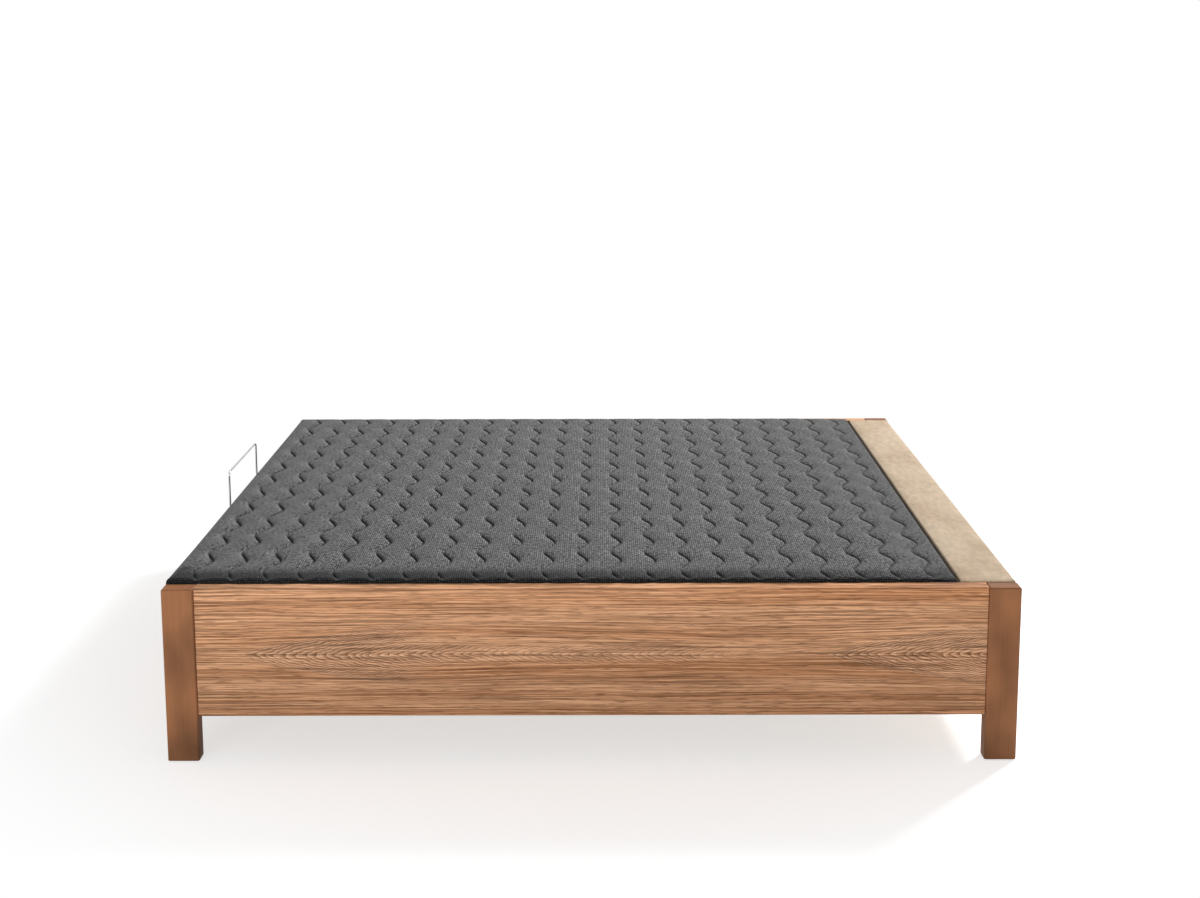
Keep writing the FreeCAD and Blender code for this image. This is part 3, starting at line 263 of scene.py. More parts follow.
class FinishColours(bpy.types.PropertyGroup):
    """Colours of the finishes, as linear light."""

    walnut: FloatVectorProperty(
        name="Walnut", description="Body of the laminate", subtype="COLOR", default=(0.475, 0.212, 0.093)
    )
    walnut_light: FloatVectorProperty(
        name="Walnut light", description="Pale bands", subtype="COLOR", default=(0.605, 0.318, 0.168)
    )
    walnut_pale: FloatVectorProperty(
        name="Walnut pale", description="Palest lines", subtype="COLOR", default=(0.71, 0.445, 0.282)
    )
    walnut_dark: FloatVectorProperty(
        name="Walnut dark", description="Grain lines and streaks", subtype="COLOR",
        default=(0.145, 0.056, 0.021),
    )
    post: FloatVectorProperty(
        name="Post stain", description="Body of the posts", subtype="COLOR", default=(0.37, 0.158, 0.07)
    )
    post_dark: FloatVectorProperty(
        name="Post shade", description="Clouds in the stain", subtype="COLOR", default=(0.17, 0.075, 0.034)
    )
    charcoal: FloatVectorProperty(
        name="Charcoal", description="Knit of the cover", subtype="COLOR", default=(0.109, 0.109, 0.11)
    )
    thread: FloatVectorProperty(
        name="Thread", description="Stitches of the cover", subtype="COLOR", default=(0.4, 0.4, 0.4)
    )
    suede: FloatVectorProperty(
        name="Suede", description="Cloth of the head strip", subtype="COLOR", default=(0.62, 0.482, 0.335)
    )
    suede_brown: FloatVectorProperty(
        name="Suede mottle", description="Brown mottles in it", subtype="COLOR", default=(0.5, 0.365, 0.235)
    )
    pine: FloatVectorProperty(
        name="Pine", description="Rails and legs", subtype="COLOR", default=(0.58, 0.4, 0.22)
    )
    birch: FloatVectorProperty(
        name="Birch", description="Boards", subtype="COLOR", default=(0.6, 0.46, 0.31)
    )


class BedBase(bpy.types.PropertyGroup):
    """All of the bed base's settings."""

    quilt: PointerProperty(type=QuiltSizes, name="Quilt", description="Quilted cover")
    deck: PointerProperty(type=DeckSizes, name="Head strip", description="Covered strip at the head")
    colours: PointerProperty(type=FinishColours, name="Colours", description="Finishes")


# ---- Nodes and objects ----


def feed(tree, socket, value):
    """Links a socket, or sets its value."""
    if isinstance(value, bpy.types.NodeSocket):
        tree.links.new(value, socket)
    elif isinstance(value, (tuple, list)) and len(value) == 3 and socket.type == "RGBA":
        socket.default_value = (*value, 1)
    else:
        socket.default_value = value


def add_node(tree, kind, inputs=(), **settings):
    """A new node with its settings, and its inputs linked or set."""
    made = tree.nodes.new(kind)
    for key, value in settings.items():
        setattr(made, key, value)
    for key, value in dict(inputs).items():
        feed(tree, made.inputs[key], value)
    return made


def put_in_scene(name, data):
    """A new object that shows a mesh, a lamp or a camera."""
    made = bpy.data.objects.new(name, data)
    bpy.context.scene.collection.objects.link(made)
    return made


# ---- Materials ----


class Finish:
    """One material's nodes, in short calls."""

    def __init__(self, name):
        self.material = bpy.data.materials.new(name)
        self.material.use_nodes = True
        self.tree = self.material.node_tree
        self.surface = next(n for n in self.tree.nodes if n.type == "BSDF_PRINCIPLED")

    def node(self, kind, inputs=(), **settings):
        return add_node(self.tree, kind, inputs, **settings)

    def place(self, turn=(0, 0, 0)):
        """Object coordinates, turned so that the grain runs along the first one."""
        coordinates = self.node("ShaderNodeTexCoord").outputs["Object"]
        return self.node("ShaderNodeMapping", {"Vector": coordinates, "Rotation": turn}).outputs[0]

    def stretch(self, vector, scale):
        return self.node("ShaderNodeVectorMath", {0: vector, 1: scale}, operation="MULTIPLY").outputs[0]

    def noise(self, vector, detail=2.0, scale=1.0, rough=0.5):
        values = {"Vector": vector, "Detail": detail, "Scale": scale, "Roughness": rough}
        return self.node("ShaderNodeTexNoise", values).outputs[0]

    def calc(self, operation, first, second=0.0, third=0.0):
        values = {0: first, 1: second, 2: third}
        return self.node("ShaderNodeMath", values, operation=operation).outputs[0]

    def span(self, value, low, high, to_low=0.0, to_high=1.0):
        keys = ("Value", "From Min", "From Max", "To Min", "To Max")
        values = zip(keys, (value, low, high, to_low, to_high))
        return self.node("ShaderNodeMapRange", values).outputs[0]

    def mix(self, factor, first, second):
        values = {0: factor, 6: first, 7: second}
        return self.node("ShaderNodeMix", values, data_type="RGBA").outputs[2]

    def shade(self, colour, factor):
        """A colour multiplied by a number."""
        values = {0: colour, "Scale": factor}
        return self.node("ShaderNodeVectorMath", values, operation="SCALE").outputs[0]

    def bump(self, height, strength, depth):
        values = {"Height": height, "Strength": strength, "Distance": depth}
        return self.node("ShaderNodeBump", values).outputs[0]

    def surface_is(self, **values):
        for key, value in values.items():
            feed(self.tree, self.surface.inputs[key.replace("_", " ")], value)
        return self.material


GRAIN_TURNS = {"X": (0, 0, 0), "Y": (0, 0, -math.pi / 2), "Z": (0, math.pi / 2, 0)}


def walnut_laminate(axis, colours):
    """Walnut figure: long straight bands and fine lines round hearts of nested chevrons."""
    f = Finish(f"walnut laminate {axis}")
    p = f.place(GRAIN_TURNS[axis])
    parts = f.node("ShaderNodeSeparateXYZ", {"Vector": p}).outputs
    along, up = parts[0], parts[2]
    # The grain's own level, which wanders and ripples
    wander = f.calc("SUBTRACT", f.noise(f.stretch(p, (1.1, 1.6, 3.0)), 2.0), 0.5)
    level = f.calc("MULTIPLY_ADD", wander, 0.016, up)
    ripple = f.calc("SUBTRACT", f.noise(f.stretch(p, (6.0, 9.0, 24.0)), 3.0), 0.5)
    level = f.calc("MULTIPLY_ADD", ripple, 0.0035, level)
    # How far inside a heart a point lies, and how the heart fades along its tail
    offset = f.calc("SUBTRACT", level, HEART_HEIGHT)
    square = f.calc("MULTIPLY", offset, offset)
    spread = f.calc("SQRT", f.calc("ADD", square, 0.000009))
    run = f.calc("FRACT", f.calc("DIVIDE", f.calc("SUBTRACT", along, HEART_TIP), HEART_REPEAT))
    run = f.calc("MULTIPLY", run, HEART_REPEAT)
    inside = f.calc("MULTIPLY_ADD", square, -HEART_ROUND, run)
    inside = f.calc("MULTIPLY_ADD", spread, -HEART_SLANT, inside)
    tail = f.calc("MULTIPLY", f.span(run, 0.38, 0.52), f.span(spread, 0.014, 0.036))
    fade = f.calc("MULTIPLY", f.span(inside, 0.0, 0.03), f.calc("SUBTRACT", 1.0, tail))
    fade = f.calc("MULTIPLY", fade, f.span(run, 0.44, 0.66, 1.0, 0.6))
    fade = f.calc("MULTIPLY", fade, f.span(run, 1.15, 1.3, 1.0, 0.0))
    # Chevrons: a dark edge and a bright edge to each step
    jitter = f.calc("MULTIPLY", f.noise(f.stretch(p, (16.0, 8.0, 52.0)), 3.0), 2.6)
    turns = f.calc("ADD", f.calc("DIVIDE", inside, HEART_PITCH), jitter)
    fine = f.calc("POWER", f.calc("FRACT", f.calc("MULTIPLY", turns, 2.6)), 3.0)
    step = f.calc("FRACT", turns)
    coarse = f.calc("POWER", step, 2.6)
    chevron = f.calc("MULTIPLY", f.calc("MULTIPLY_ADD", fine, 0.25, coarse), fade)
    bright = f.calc("MULTIPLY", f.span(step, 0.1, 0.5, 0.8, 0.0), fade)
    # Straight grain, pushed apart round a heart
    swollen = f.calc("MULTIPLY", f.span(run, 0.0, 0.4), f.span(run, 0.45, 1.2, 0.35, 0.0))
    near = f.calc("MULTIPLY", f.span(square, 0.0, 0.008, 1.0, 0.0), swollen)
    bent = f.calc("MULTIPLY", offset, f.calc("SUBTRACT", 1.0, near))
    flat = f.node("ShaderNodeCombineXYZ", {0: along, 1: parts[1], 2: bent}).outputs[0]
    fibre = f.noise(f.stretch(flat, (2.4, 60.0, 300.0)), 4.0, rough=0.75)
    pores = f.noise(f.stretch(flat, (22.0, 240.0, 430.0)), 2.0)
    bands = f.noise(f.stretch(flat, (0.35, 4.0, 26.0)), 3.0, rough=0.5)
    streaks = f.noise(f.stretch(flat, (0.9, 10.0, 150.0)), 4.0, rough=0.68)
    # Tones, from the broad bands down to the pores
    colour = f.mix(f.span(bands, 0.38, 0.62), colours.walnut[:], colours.walnut_light[:])
    for heights, width, tone, strength in (
        (PALE_BANDS, PALE_WIDTH, colours.walnut_light[:], PALE_STRENGTH),
        (DARK_LINES, DARK_WIDTH, colours.walnut_dark[:], DARK_STRENGTH),
    ):
        for height in heights:
            distance = f.calc("ABSOLUTE", f.calc("SUBTRACT", level, height))
            band = f.span(distance, 0.0, width, strength, 0.0)
            colour = f.mix(f.calc("MULTIPLY", band, f.span(streaks, 0.3, 0.6)), colour, tone)
    colour = f.mix(f.span(streaks, 0.58, 0.74, 0.0, 0.35), colour, colours.walnut_dark[:])
    # Growth lines that come and go, but not across a heart
    drift = f.noise(f.stretch(flat, (0.6, 4.0, 22.0)), 3.0, rough=0.6)
    drift = f.calc("MULTIPLY", drift, 7.0)
    ring = f.calc("FRACT", f.calc("MULTIPLY_ADD", bent, RINGS_PER_METRE, drift))
    worn = f.span(f.noise(f.stretch(flat, (2.2, 20.0, 70.0)), 2.0), 0.4, 0.6, 0.0, 0.95)
    line = f.calc("MULTIPLY", f.calc("POWER", ring, 6.0), worn)
    line = f.calc("MULTIPLY", line, f.calc("SUBTRACT", 1.0, fade))
    colour = f.mix(line, colour, colours.walnut_dark[:])
    colour = f.mix(bright, colour, colours.walnut_pale[:])
    colour = f.mix(f.calc("MINIMUM", chevron, 0.75), colour, colours.walnut_dark[:])
    colour = f.shade(colour, f.span(fibre, 0.34, 0.66, 0.36, 1.47))
    colour = f.mix(f.span(fibre, 0.5, 0.7, 0.0, 0.6), colour, colours.walnut_pale[:])
    # Lighter towards the top
    colour = f.shade(colour, f.span(up, 0.12, 0.43, 0.98, 1.3))
    colour = f.mix(f.span(pores, 0.53, 0.69, 0.0, 0.62), colour, colours.walnut_dark[:])
    rough = f.span(fibre, 0.3, 0.7, 0.6, 0.5)
    normal = f.bump(f.calc("SUBTRACT", fibre, f.calc("MULTIPLY", pores, 0.4)), 0.22, 0.0004)
    return f.surface_is(Base_Color=colour, Roughness=rough, Normal=normal, Specular_IOR_Level=0.15)


def post_stain(colours):
    """Brown stain on upright wood: soft clouds, fine upright grain."""
    f = Finish("brown stained post")
    p = f.place(GRAIN_TURNS["Z"])
    cloud = f.noise(f.stretch(p, (4.5, 8.0, 8.0)), 2.0)
    grain = f.noise(f.stretch(p, (4.0, 150.0, 150.0)), 4.0, rough=0.6)
    pores = f.noise(f.stretch(p, (22.0, 700.0, 700.0)), 2.0)
    colour = f.mix(f.span(cloud, 0.36, 0.7), colours.post[:], colours.post_dark[:])
    colour = f.shade(colour, f.span(grain, 0.3, 0.7, 0.94, 1.06))
    colour = f.mix(f.span(pores, 0.62, 0.75, 0.0, 0.2), colour, colours.post_dark[:])
    normal = f.bump(f.calc("ADD", grain, pores), 0.15, 0.0004)
    rough = f.span(grain, 0.3, 0.7, 0.6, 0.52)
    return f.surface_is(Base_Color=colour, Roughness=rough, Normal=normal, Specular_IOR_Level=0.12)


def pale_wood(name, axis, tone, figure, shine):
    """Plain pale wood with growth lines along its length; figure is how strong they are."""
    f = Finish(f"{name} {axis}")
    p = f.place(GRAIN_TURNS[axis])
    wander = f.noise(f.stretch(p, (1.5, 12.0, 12.0)), 2.0)
    lines = f.noise(f.stretch(p, (0.8, 55.0, 55.0)), 3.0, rough=0.6)
    fibre = f.noise(f.stretch(p, (9.0, 420.0, 420.0)), 3.0)
    colour = f.shade(tone, f.span(wander, 0.3, 0.7, 0.9, 1.08))
    dark = tuple(c * k for c, k in zip(tone, (0.72, 0.62, 0.52)))
    colour = f.mix(f.span(lines, 0.52, 0.68, 0.0, figure), colour, dark)
    colour = f.shade(colour, f.span(fibre, 0.3, 0.7, 0.93, 1.06))
    normal = f.bump(f.calc("ADD", lines, fibre), 0.15, 0.0004)
    return f.surface_is(Base_Color=colour, Roughness=shine, Normal=normal, Specular_IOR_Level=0.25)


def charcoal_knit(colours):
    """Fine open knit: pale dots of yarn in slanting rows over a dark ground."""
    f = Finish("charcoal knit")
    cloth = f.node("ShaderNodeUVMap", uv_map="cloth").outputs[0]
    parts = f.node("ShaderNodeSeparateXYZ", {"Vector": cloth}).outputs
    turns = 2 * math.pi / KNIT_PITCH
    rise = f.calc("MULTIPLY", f.calc("ADD", parts[0], parts[1]), turns / 2)
    fall = f.calc("MULTIPLY", f.calc("SUBTRACT", parts[0], parts[1]), turns / 2)
    dots = f.calc("MULTIPLY", f.calc("SINE", rise), f.calc("SINE", fall))
    wool = f.noise(cloth, 3.0, 300.0, 0.6)
    cloud = f.noise(cloth, 3.0, 7.0)
    yarn = f.calc("MULTIPLY_ADD", f.calc("SUBTRACT", wool, 0.5), 2.6, dots)
    colour = f.shade(colours.charcoal[:], f.span(yarn, -1.0, 1.0, 0.0, 2.0))
    fuzz = f.noise(cloth, 2.0, 130.0)
    colour = f.shade(colour, f.span(cloud, 0.3, 0.7, 0.92, 1.08))
    colour = f.shade(colour, f.span(fuzz, 0.34, 0.66, 0.15, 1.85))
    # Painted highlight beside the seams: the yarn made brighter on their foot side
    seam_highlight = f.node("ShaderNodeAttribute", attribute_name="seam_highlight").outputs["Fac"]
    colour = f.shade(colour, f.span(seam_highlight, 0.0, 1.0, 1.0, f.span(yarn, -0.6, 1.2, 0.9, 2.1)))
    # Painted shade towards the edges and a painted dark band below the edge, with painted highlights left on
    # the yarn's tips
    border = f.node("ShaderNodeAttribute", attribute_name="border").outputs["Fac"]
    tips = f.span(yarn, 0.1, 1.2, 0.03, 0.34)
    colour = f.shade(colour, f.span(border, 0.0, 1.0, 1.0, tips))
    # Painted shade in the seams
    crease = f.node("ShaderNodeAttribute", attribute_name="crease").outputs["Fac"]
    colour = f.shade(colour, f.span(crease, 0.0, 1.0, 1.0, 0.05))
    normal = f.bump(yarn, 0.5, 0.0006)
    return f.surface_is(
        Base_Color=colour, Roughness=0.92, Normal=normal, Specular_IOR_Level=0.2, Sheen_Weight=0.12,
        Sheen_Roughness=0.5,
    )


def suede_cloth(colours):
    """Beige brushed cloth with soft brown mottles and a short nap."""
    f = Finish("beige suede cloth")
    cloth = f.node("ShaderNodeUVMap", uv_map="cloth").outputs[0]
    mottle = f.noise(f.stretch(cloth, (9.0, 5.0, 1.0)), 4.0, rough=0.6)
    brushed = f.noise(f.stretch(cloth, (60.0, 34.0, 1.0)), 3.0)
    nap = f.noise(cloth, 3.0, 800.0, 0.7)
    colour = f.mix(f.span(mottle, 0.44, 0.68, 0.0, 0.85), colours.suede[:], colours.suede_brown[:])
    colour = f.shade(colour, f.span(brushed, 0.3, 0.7, 0.88, 1.1))
    colour = f.shade(colour, f.span(nap, 0.3, 0.7, 0.92, 1.07))
    normal = f.bump(nap, 0.3, 0.0005)
    return f.surface_is(
        Base_Color=colour, Roughness=0.88, Normal=normal, Specular_IOR_Level=0.2, Sheen_Weight=0.15,
        Sheen_Roughness=0.5,
    )


def twisted_thread(colours):
    """Grey sewing thread with its twist."""
    f = Finish("grey sewing thread")
    twist = f.noise(f.place(), 2.0, 900.0)
    colour = f.shade(colours.thread[:], f.span(twist, 0.3, 0.7, 0.7, 1.2))
    return f.surface_is(Base_Color=colour, Roughness=0.7, Normal=f.bump(twist, 0.4, 0.0003))


def metal(name, tone, metallic, rough, texture, depth):
    """Coated or plated metal with the fine texture of its coat."""
    f = Finish(name)
    p = f.place()
    skin = f.noise(p, 3.0, texture)
    wear = f.noise(p, 4.0, texture / 18)
    colour = f.shade(tone, f.span(wear, 0.3, 0.7, 0.85, 1.12))
    shine = f.calc("MULTIPLY_ADD", f.calc("SUBTRACT", wear, 0.5), rough * 0.8, rough)
    normal = f.bump(skin, 0.2, depth)
    return f.surface_is(Base_Color=colour, Metallic=metallic, Roughness=shine, Normal=normal)


def moulded(name, tone, rough, texture):
    """Moulded plastic or rubber with a fine grain."""
    f = Finish(name)
    p = f.place()
    grain = f.noise(p, 2.0, texture)
    colour = f.shade(tone, f.span(f.noise(p, 3.0, texture / 20), 0.3, 0.7, 0.88, 1.12))
    shine = f.span(grain, 0.3, 0.7, rough - 0.06, rough + 0.06)
    return f.surface_is(Base_Color=colour, Roughness=shine, Normal=f.bump(grain, 0.25, 0.0003))


def paint(nodes, finish):
    """Gives CAD nodes a finish through their material slots."""
    for name in nodes:
        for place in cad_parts[name].material_slots:
            place.material = finish


def long_axis(name):
    """The axis that a node is longest along, where its grain runs."""
    low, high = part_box(name)
    return "XYZ"[max(range(3), key=lambda i: high[i] - low[i])]


# ---- Padded pieces ----


def hem_path(rows, columns):
    """The sheet's border once round: row, column and outward direction, with a fan at corners."""
    last_row, last_column = rows - 1, columns - 1
    runs = (
        ([(0, c) for c in range(columns)], -90),
        ([(r, last_column) for r in range(rows)], 0),
        ([(last_row, c) for c in range(last_column, -1, -1)], 90),
        ([(r, 0) for r in range(last_row, -1, -1)], 180),
    )
    path = []
    for places, turn in runs:
        path += [(*place, turn) for place in places]
        path += [(*places[-1], turn + 90 * k / CORNER_STEPS) for k in range(1, CORNER_STEPS)]
    return path


def squared(turn):
    """Outward direction at a turn, stretched out to keep the corners nearly square."""
    c, s = math.cos(math.radians(turn)), math.sin(math.radians(turn))
    if abs(c) < 1e-6 or abs(s) < 1e-6:
        return round(c), round(s)
    return tuple(math.copysign(abs(v) ** CORNER_SQUARENESS, v) for v in (c, s))


def stitched_sheet(name, x, y, z, rings):
    """A sheet over a grid of points, carried over its border ring by ring. Each ring is (reach, share,
    level): how far out it lies, and how far it has gone from the grid's height to the level."""
    rows, columns = x.shape
    top = np.stack((x, y, z), -1).reshape(-1, 3)
    path = hem_path(rows, columns)
    base = np.array([r * columns + c for r, c, _ in path])
    out = np.array([squared(turn) for _, _, turn in path])
    layers, lengths = [top[base]], [np.zeros(len(path))]
    for reach, share, level in rings:
        ring = top[base].copy()
        ring[:, :2] += out * reach
        ring[:, 2] += (level - ring[:, 2]) * share
        lengths.append(lengths[-1] + np.linalg.norm(ring - layers[-1], axis=1))
        layers.append(ring)
    vertices = np.concatenate((top, *layers[1:]))
    cloth = [top[:, :2]] + [top[base][:, :2] + out * run[:, None] for run in lengths[1:]]
    cloth = np.concatenate(cloth)
    index = np.arange(rows * columns).reshape(rows, columns)
    quads = (index[:-1, :-1], index[:-1, 1:], index[1:, 1:], index[1:, :-1])
    faces = np.stack(quads, -1).reshape(-1, 4).tolist()
    count = len(path)
    levels = [base.tolist()]
    for k in range(len(layers) - 1):
        start = rows * columns + k * count
        levels.append(list(range(start, start + count)))
    for upper, lower in zip(levels, levels[1:]):
        for j in range(count):
            n = (j + 1) % count
            corners = [upper[j], lower[j], lower[n], upper[n]]
            faces.append(list(dict.fromkeys(corners)))
    mesh = bpy.data.meshes.new(name)
    mesh.from_pydata(vertices.tolist(), [], faces)
    mesh.update()
    return put_in_scene(name, mesh), levels, cloth


def fill_out(piece, held, pressure, swell):
    """Cloth under the filling's pressure, held at its sewn points, moved by no more than the swell."""
    scene = bpy.context.scene
    group = piece.vertex_groups.new(name="sewn")
    group.add([int(i) for i in held], 1.0, "REPLACE")
    cloth = piece.modifiers.new("filling", "CLOTH")
    settings = cloth.settings
    settings.vertex_group_mass = group.name
    settings.quality = CLOTH_QUALITY
    settings.use_pressure = True
    settings.uniform_pressure_force = pressure
    settings.effector_weights.gravity = 0.0
    settings.tension_stiffness = CLOTH_STIFFNESS
    settings.compression_stiffness = CLOTH_STIFFNESS
    settings.bending_stiffness = CLOTH_BENDING
    cloth.collision_settings.use_collision = False
    cloth.point_cache.frame_start = 1
    cloth.point_cache.frame_end = SHEET_FRAMES
    for step in range(1, SHEET_FRAMES + 1):
        scene.frame_set(step)
    filled = piece.evaluated_get(bpy.context.evaluated_depsgraph_get())
    count = len(piece.data.vertices)
    before, after = np.empty(count * 3), np.empty(count * 3)
    piece.data.vertices.foreach_get("co", before)
    filled.data.vertices.foreach_get("co", after)
    piece.modifiers.remove(cloth)
    piece.vertex_groups.remove(group)
    scene.frame_set(1)
    move = (after - before).reshape(-1, 3)
    size = np.linalg.norm(move, axis=1)
    if not np.isfinite(size).all():
        raise RuntimeError(f"{piece.name}: the cloth did not settle")
    move *= np.minimum(1.0, swell / np.maximum(size, 1e-9))[:, None]
    print(piece.name, "filled by up to", round(float(size.max()) * 1000, 2), "mm")
    piece.data.vertices.foreach_set("co", before + move.reshape(-1))
    piece.data.update()


def close_round_board(piece, hem, board, cloth, finish):
    """Carries the hem in to the board's edge, up it and across its top, and lays the cloth's own
    coordinates."""
    low, high = board
    work = bmesh.new()
    work.from_mesh(piece.data)
    work.verts.ensure_lookup_table()
    rim = [work.verts[i] for i in hem]
    under, over = [], []
    for vertex in rim:
        x, y, z = vertex.co
        at_board = Vector((min(max(x, low.x), high.x), min(max(y, low.y), high.y), 0))
        under.append(work.verts.new((at_board.x, at_board.y, z)))
        over.append(work.verts.new((at_board.x, at_board.y, high.z)))
    for upper, lower in ((rim, under), (under, over)):
        for j in range(len(rim)):
            n = (j + 1) % len(rim)
            work.faces.new((upper[j], lower[j], lower[n], upper[n]))
    work.faces.new(over)
    work.verts.index_update()
    bmesh.ops.recalc_face_normals(work, faces=work.faces)
    layer = work.loops.layers.uv.new("cloth")
    for face in work.faces:
        face.smooth = len(face.verts) < 5
        for corner in face.loops:
            i = corner.vert.index
            corner[layer].uv = cloth[i] if i < len(cloth) else corner.vert.co.xy
    work.to_mesh(piece.data)
    work.free()
    piece.data.materials.append(finish)


def seam_swing(y, quilt):
    """How far a seam is moved at a place across the bed, and its slope there."""
    turn = 2 * np.pi * (y - quilt.wave_start) / quilt.wave_length
    swing = -quilt.wave_reach * np.sin(turn)
    slope = -quilt.wave_reach * 2 * np.pi / quilt.wave_length * np.cos(turn)
    return swing, slope


def channel_rise(side):
    """Height of a channel, from 0 at its seam to 1 at its crown: steep on the foot side, a long slope
    on the other."""
    gap = np.abs(side)
    long = np.where(side > 0, *LONG_SHARES)
    steep = (1 - long) * np.exp(-gap / STEEP_SLOPE)
    return 1 - steep - long * np.exp(-gap / np.where(side > 0, *LONG_SLOPES))


def softness(x, y, size, reach):
    """Gentle unevenness of filling, the same in each run."""
    places = zip(x.reshape(-1), y.reshape(-1))
    heights = [noise.noise((a / size, b / size, UNEVEN_LAYER)) for a, b in places]
    return np.array(heights).reshape(x.shape) * reach


def quilt_grid(low, high, quilt):
    """Points of the quilted top: columns follow the seams, rows run along the bed."""
    seams = quilt.first_seam + quilt.seam_pitch * np.arange(quilt.seam_count)
    stops = [low.x + quilt.lip, *seams, high.x - quilt.lip]
    shares = [*LAND_SHARES, 1.0, *(2 - s for s in reversed(LAND_SHARES[1:]))]
    columns = [a + (b - a) / 2 * s for a, b in zip(seams, seams[1:]) for s in shares] + [seams[-1]]
    half_land = quilt.seam_pitch / 2
    near = [half_land * s for s in LAND_SHARES[1:]]
    to_foot, to_head = seams[0] - stops[0], stops[-1] - seams[-1]
    foot = [seams[0] - n for n in (*near, *np.linspace(half_land, to_foot, END_COLUMNS))]
    head = [seams[-1] + n for n in (*near, *np.linspace(half_land, to_head, END_COLUMNS))]
    columns = np.array([*reversed(foot), *columns, *head])
    side = columns[:, None] - seams[None, :]
    side = side[np.arange(len(columns)), np.abs(side).argmin(1)]
    carried = np.clip(np.minimum((columns - stops[0]) / to_foot, (stops[-1] - columns) / to_head), 0, 1)
    start, end = low.y + quilt.lip, high.y - quilt.lip
    rows = np.linspace(start, end, round((end - start) / quilt.row_pitch) + 1)
    swing, slope = seam_swing(rows, quilt)
    x = columns[None, :] + carried[None, :] * swing[:, None]
    y = np.repeat(rows[:, None], len(columns), 1)
    across = side[None, :] / np.sqrt(1 + slope[:, None] ** 2)
    sewn = np.flatnonzero(np.abs(side) < 1e-6)
    slant = slope[:, None] / quilt.wave_reach * quilt.wave_length
    drawn = np.clip(DRAWN_MIDDLE - slant / DRAWN_SPAN, 0, 1)
    ease = np.interp(columns, HEAD_EASE_RUN, (SEAM_EASE, HEAD_EASE))[None, :]
    rise = 1 - (1 - channel_rise(across)) * (ease + (1 - ease) * drawn)
    headward = across >= 0
    # Reach of the painted seam shading: positive on the head side for painted shade, negative on the foot
    # side for a painted highlight
    seam_shading = np.exp(-np.abs(across) / np.where(headward, *SHADING_REACHES)) * drawn * np.where(headward, 1, -1)
    return x, y, rise, seam_shading, sewn


def slack_at(x, high, quilt):
    """How much thinner the filling is towards the head."""
    return quilt.head_slack * np.clip(1 - (high.x - x) / quilt.head_reach, 0, 1) ** 2


def shoulder_fall(x, y, low, high, quilt):
    """How far the top has sloped down near the edges, rounded where two edges meet."""
    gaps = np.stack((x - low.x, high.x - x, y - low.y, high.y - y))
    slopes = np.clip(1 - (gaps - quilt.lip) / quilt.shoulder, 0, 1) ** 2
    return quilt.shoulder_drop * (1 - np.prod(1 - slopes, axis=0)) + slack_at(x, high, quilt)


def edge_roll(reach, level):
    """Rings of a quarter turn over the edge, down to a level."""
    angles = [turn * math.pi / 2 for turn in ROLL_TURNS]
    return [(reach * math.sin(a), 1 - math.cos(a), level) for a in angles]


def shade_creases(cover, rise, seam_shading):
    """Marks the painted shade in each seam and beside it on the head side, and the painted highlight beside
    it on the foot side.
    """
    # Painted shade: darkest at the bottom of a seam, and spread onto its head side
    packed = np.clip(1 - rise / SEAM_SHADE_RISE + SEAM_SHADE_SHARE * np.maximum(seam_shading, 0), 0, 1)
    # Painted highlight on a seam's foot side, away from its bottom
    seam_highlight = np.where(rise > HIGHLIGHT_RISE, np.maximum(-seam_shading, 0), 0)
    for name, values in (("crease", packed), ("seam_highlight", seam_highlight)):
        marks = np.zeros(len(cover.data.vertices), np.float32)
        marks[:rise.size] = values.reshape(-1)
        cover.data.attributes.new(name, "FLOAT", "POINT").data.foreach_set("value", marks)


def shade_border(cover, low, high, edge, quilt):
    """Marks the painted dark band below the cover's edge, and the painted shade that leads to it from the
    shoulders; also darker towards the head.
    """
    spots = np.empty(len(cover.data.vertices) * 3)
    cover.data.vertices.foreach_get("co", spots)
    x, y, z = spots.reshape(-1, 3).T
    gap = np.minimum.reduce((x - low.x, high.x - x, y - low.y, high.y - y))
    share = gap / quilt.shoulder
    # Painted shade leading to the edges, strongest along the front
    front = y - low.y < FRONT_SHADE * quilt.shoulder
    at_front = np.interp(x, FRONT_FADE_RUN, FRONT_STRENGTHS) * np.clip(FRONT_SHADE - share, 0, 1)
    leading = np.where(front, at_front, SIDE_STRENGTH * np.clip(SIDE_SHADE - share, 0, 1))
    leading = np.maximum(leading, HEAD_SHADE * np.clip(1 - (high.x - x) / HEAD_SHADE_REACH, 0, 1))
    # Painted dark band below the edge, weak at the head end
    below = np.clip((edge - slack_at(x, high, quilt) - z) / BORDER_BLEND, 0, 1)
    below = below * np.where(x > high.x - HEAD_BORDER_REACH, HEAD_BORDER, 1)
    mark = cover.data.attributes.new("border", "FLOAT", "POINT")
    mark.data.foreach_set("value", np.maximum(leading, below).astype(np.float32))


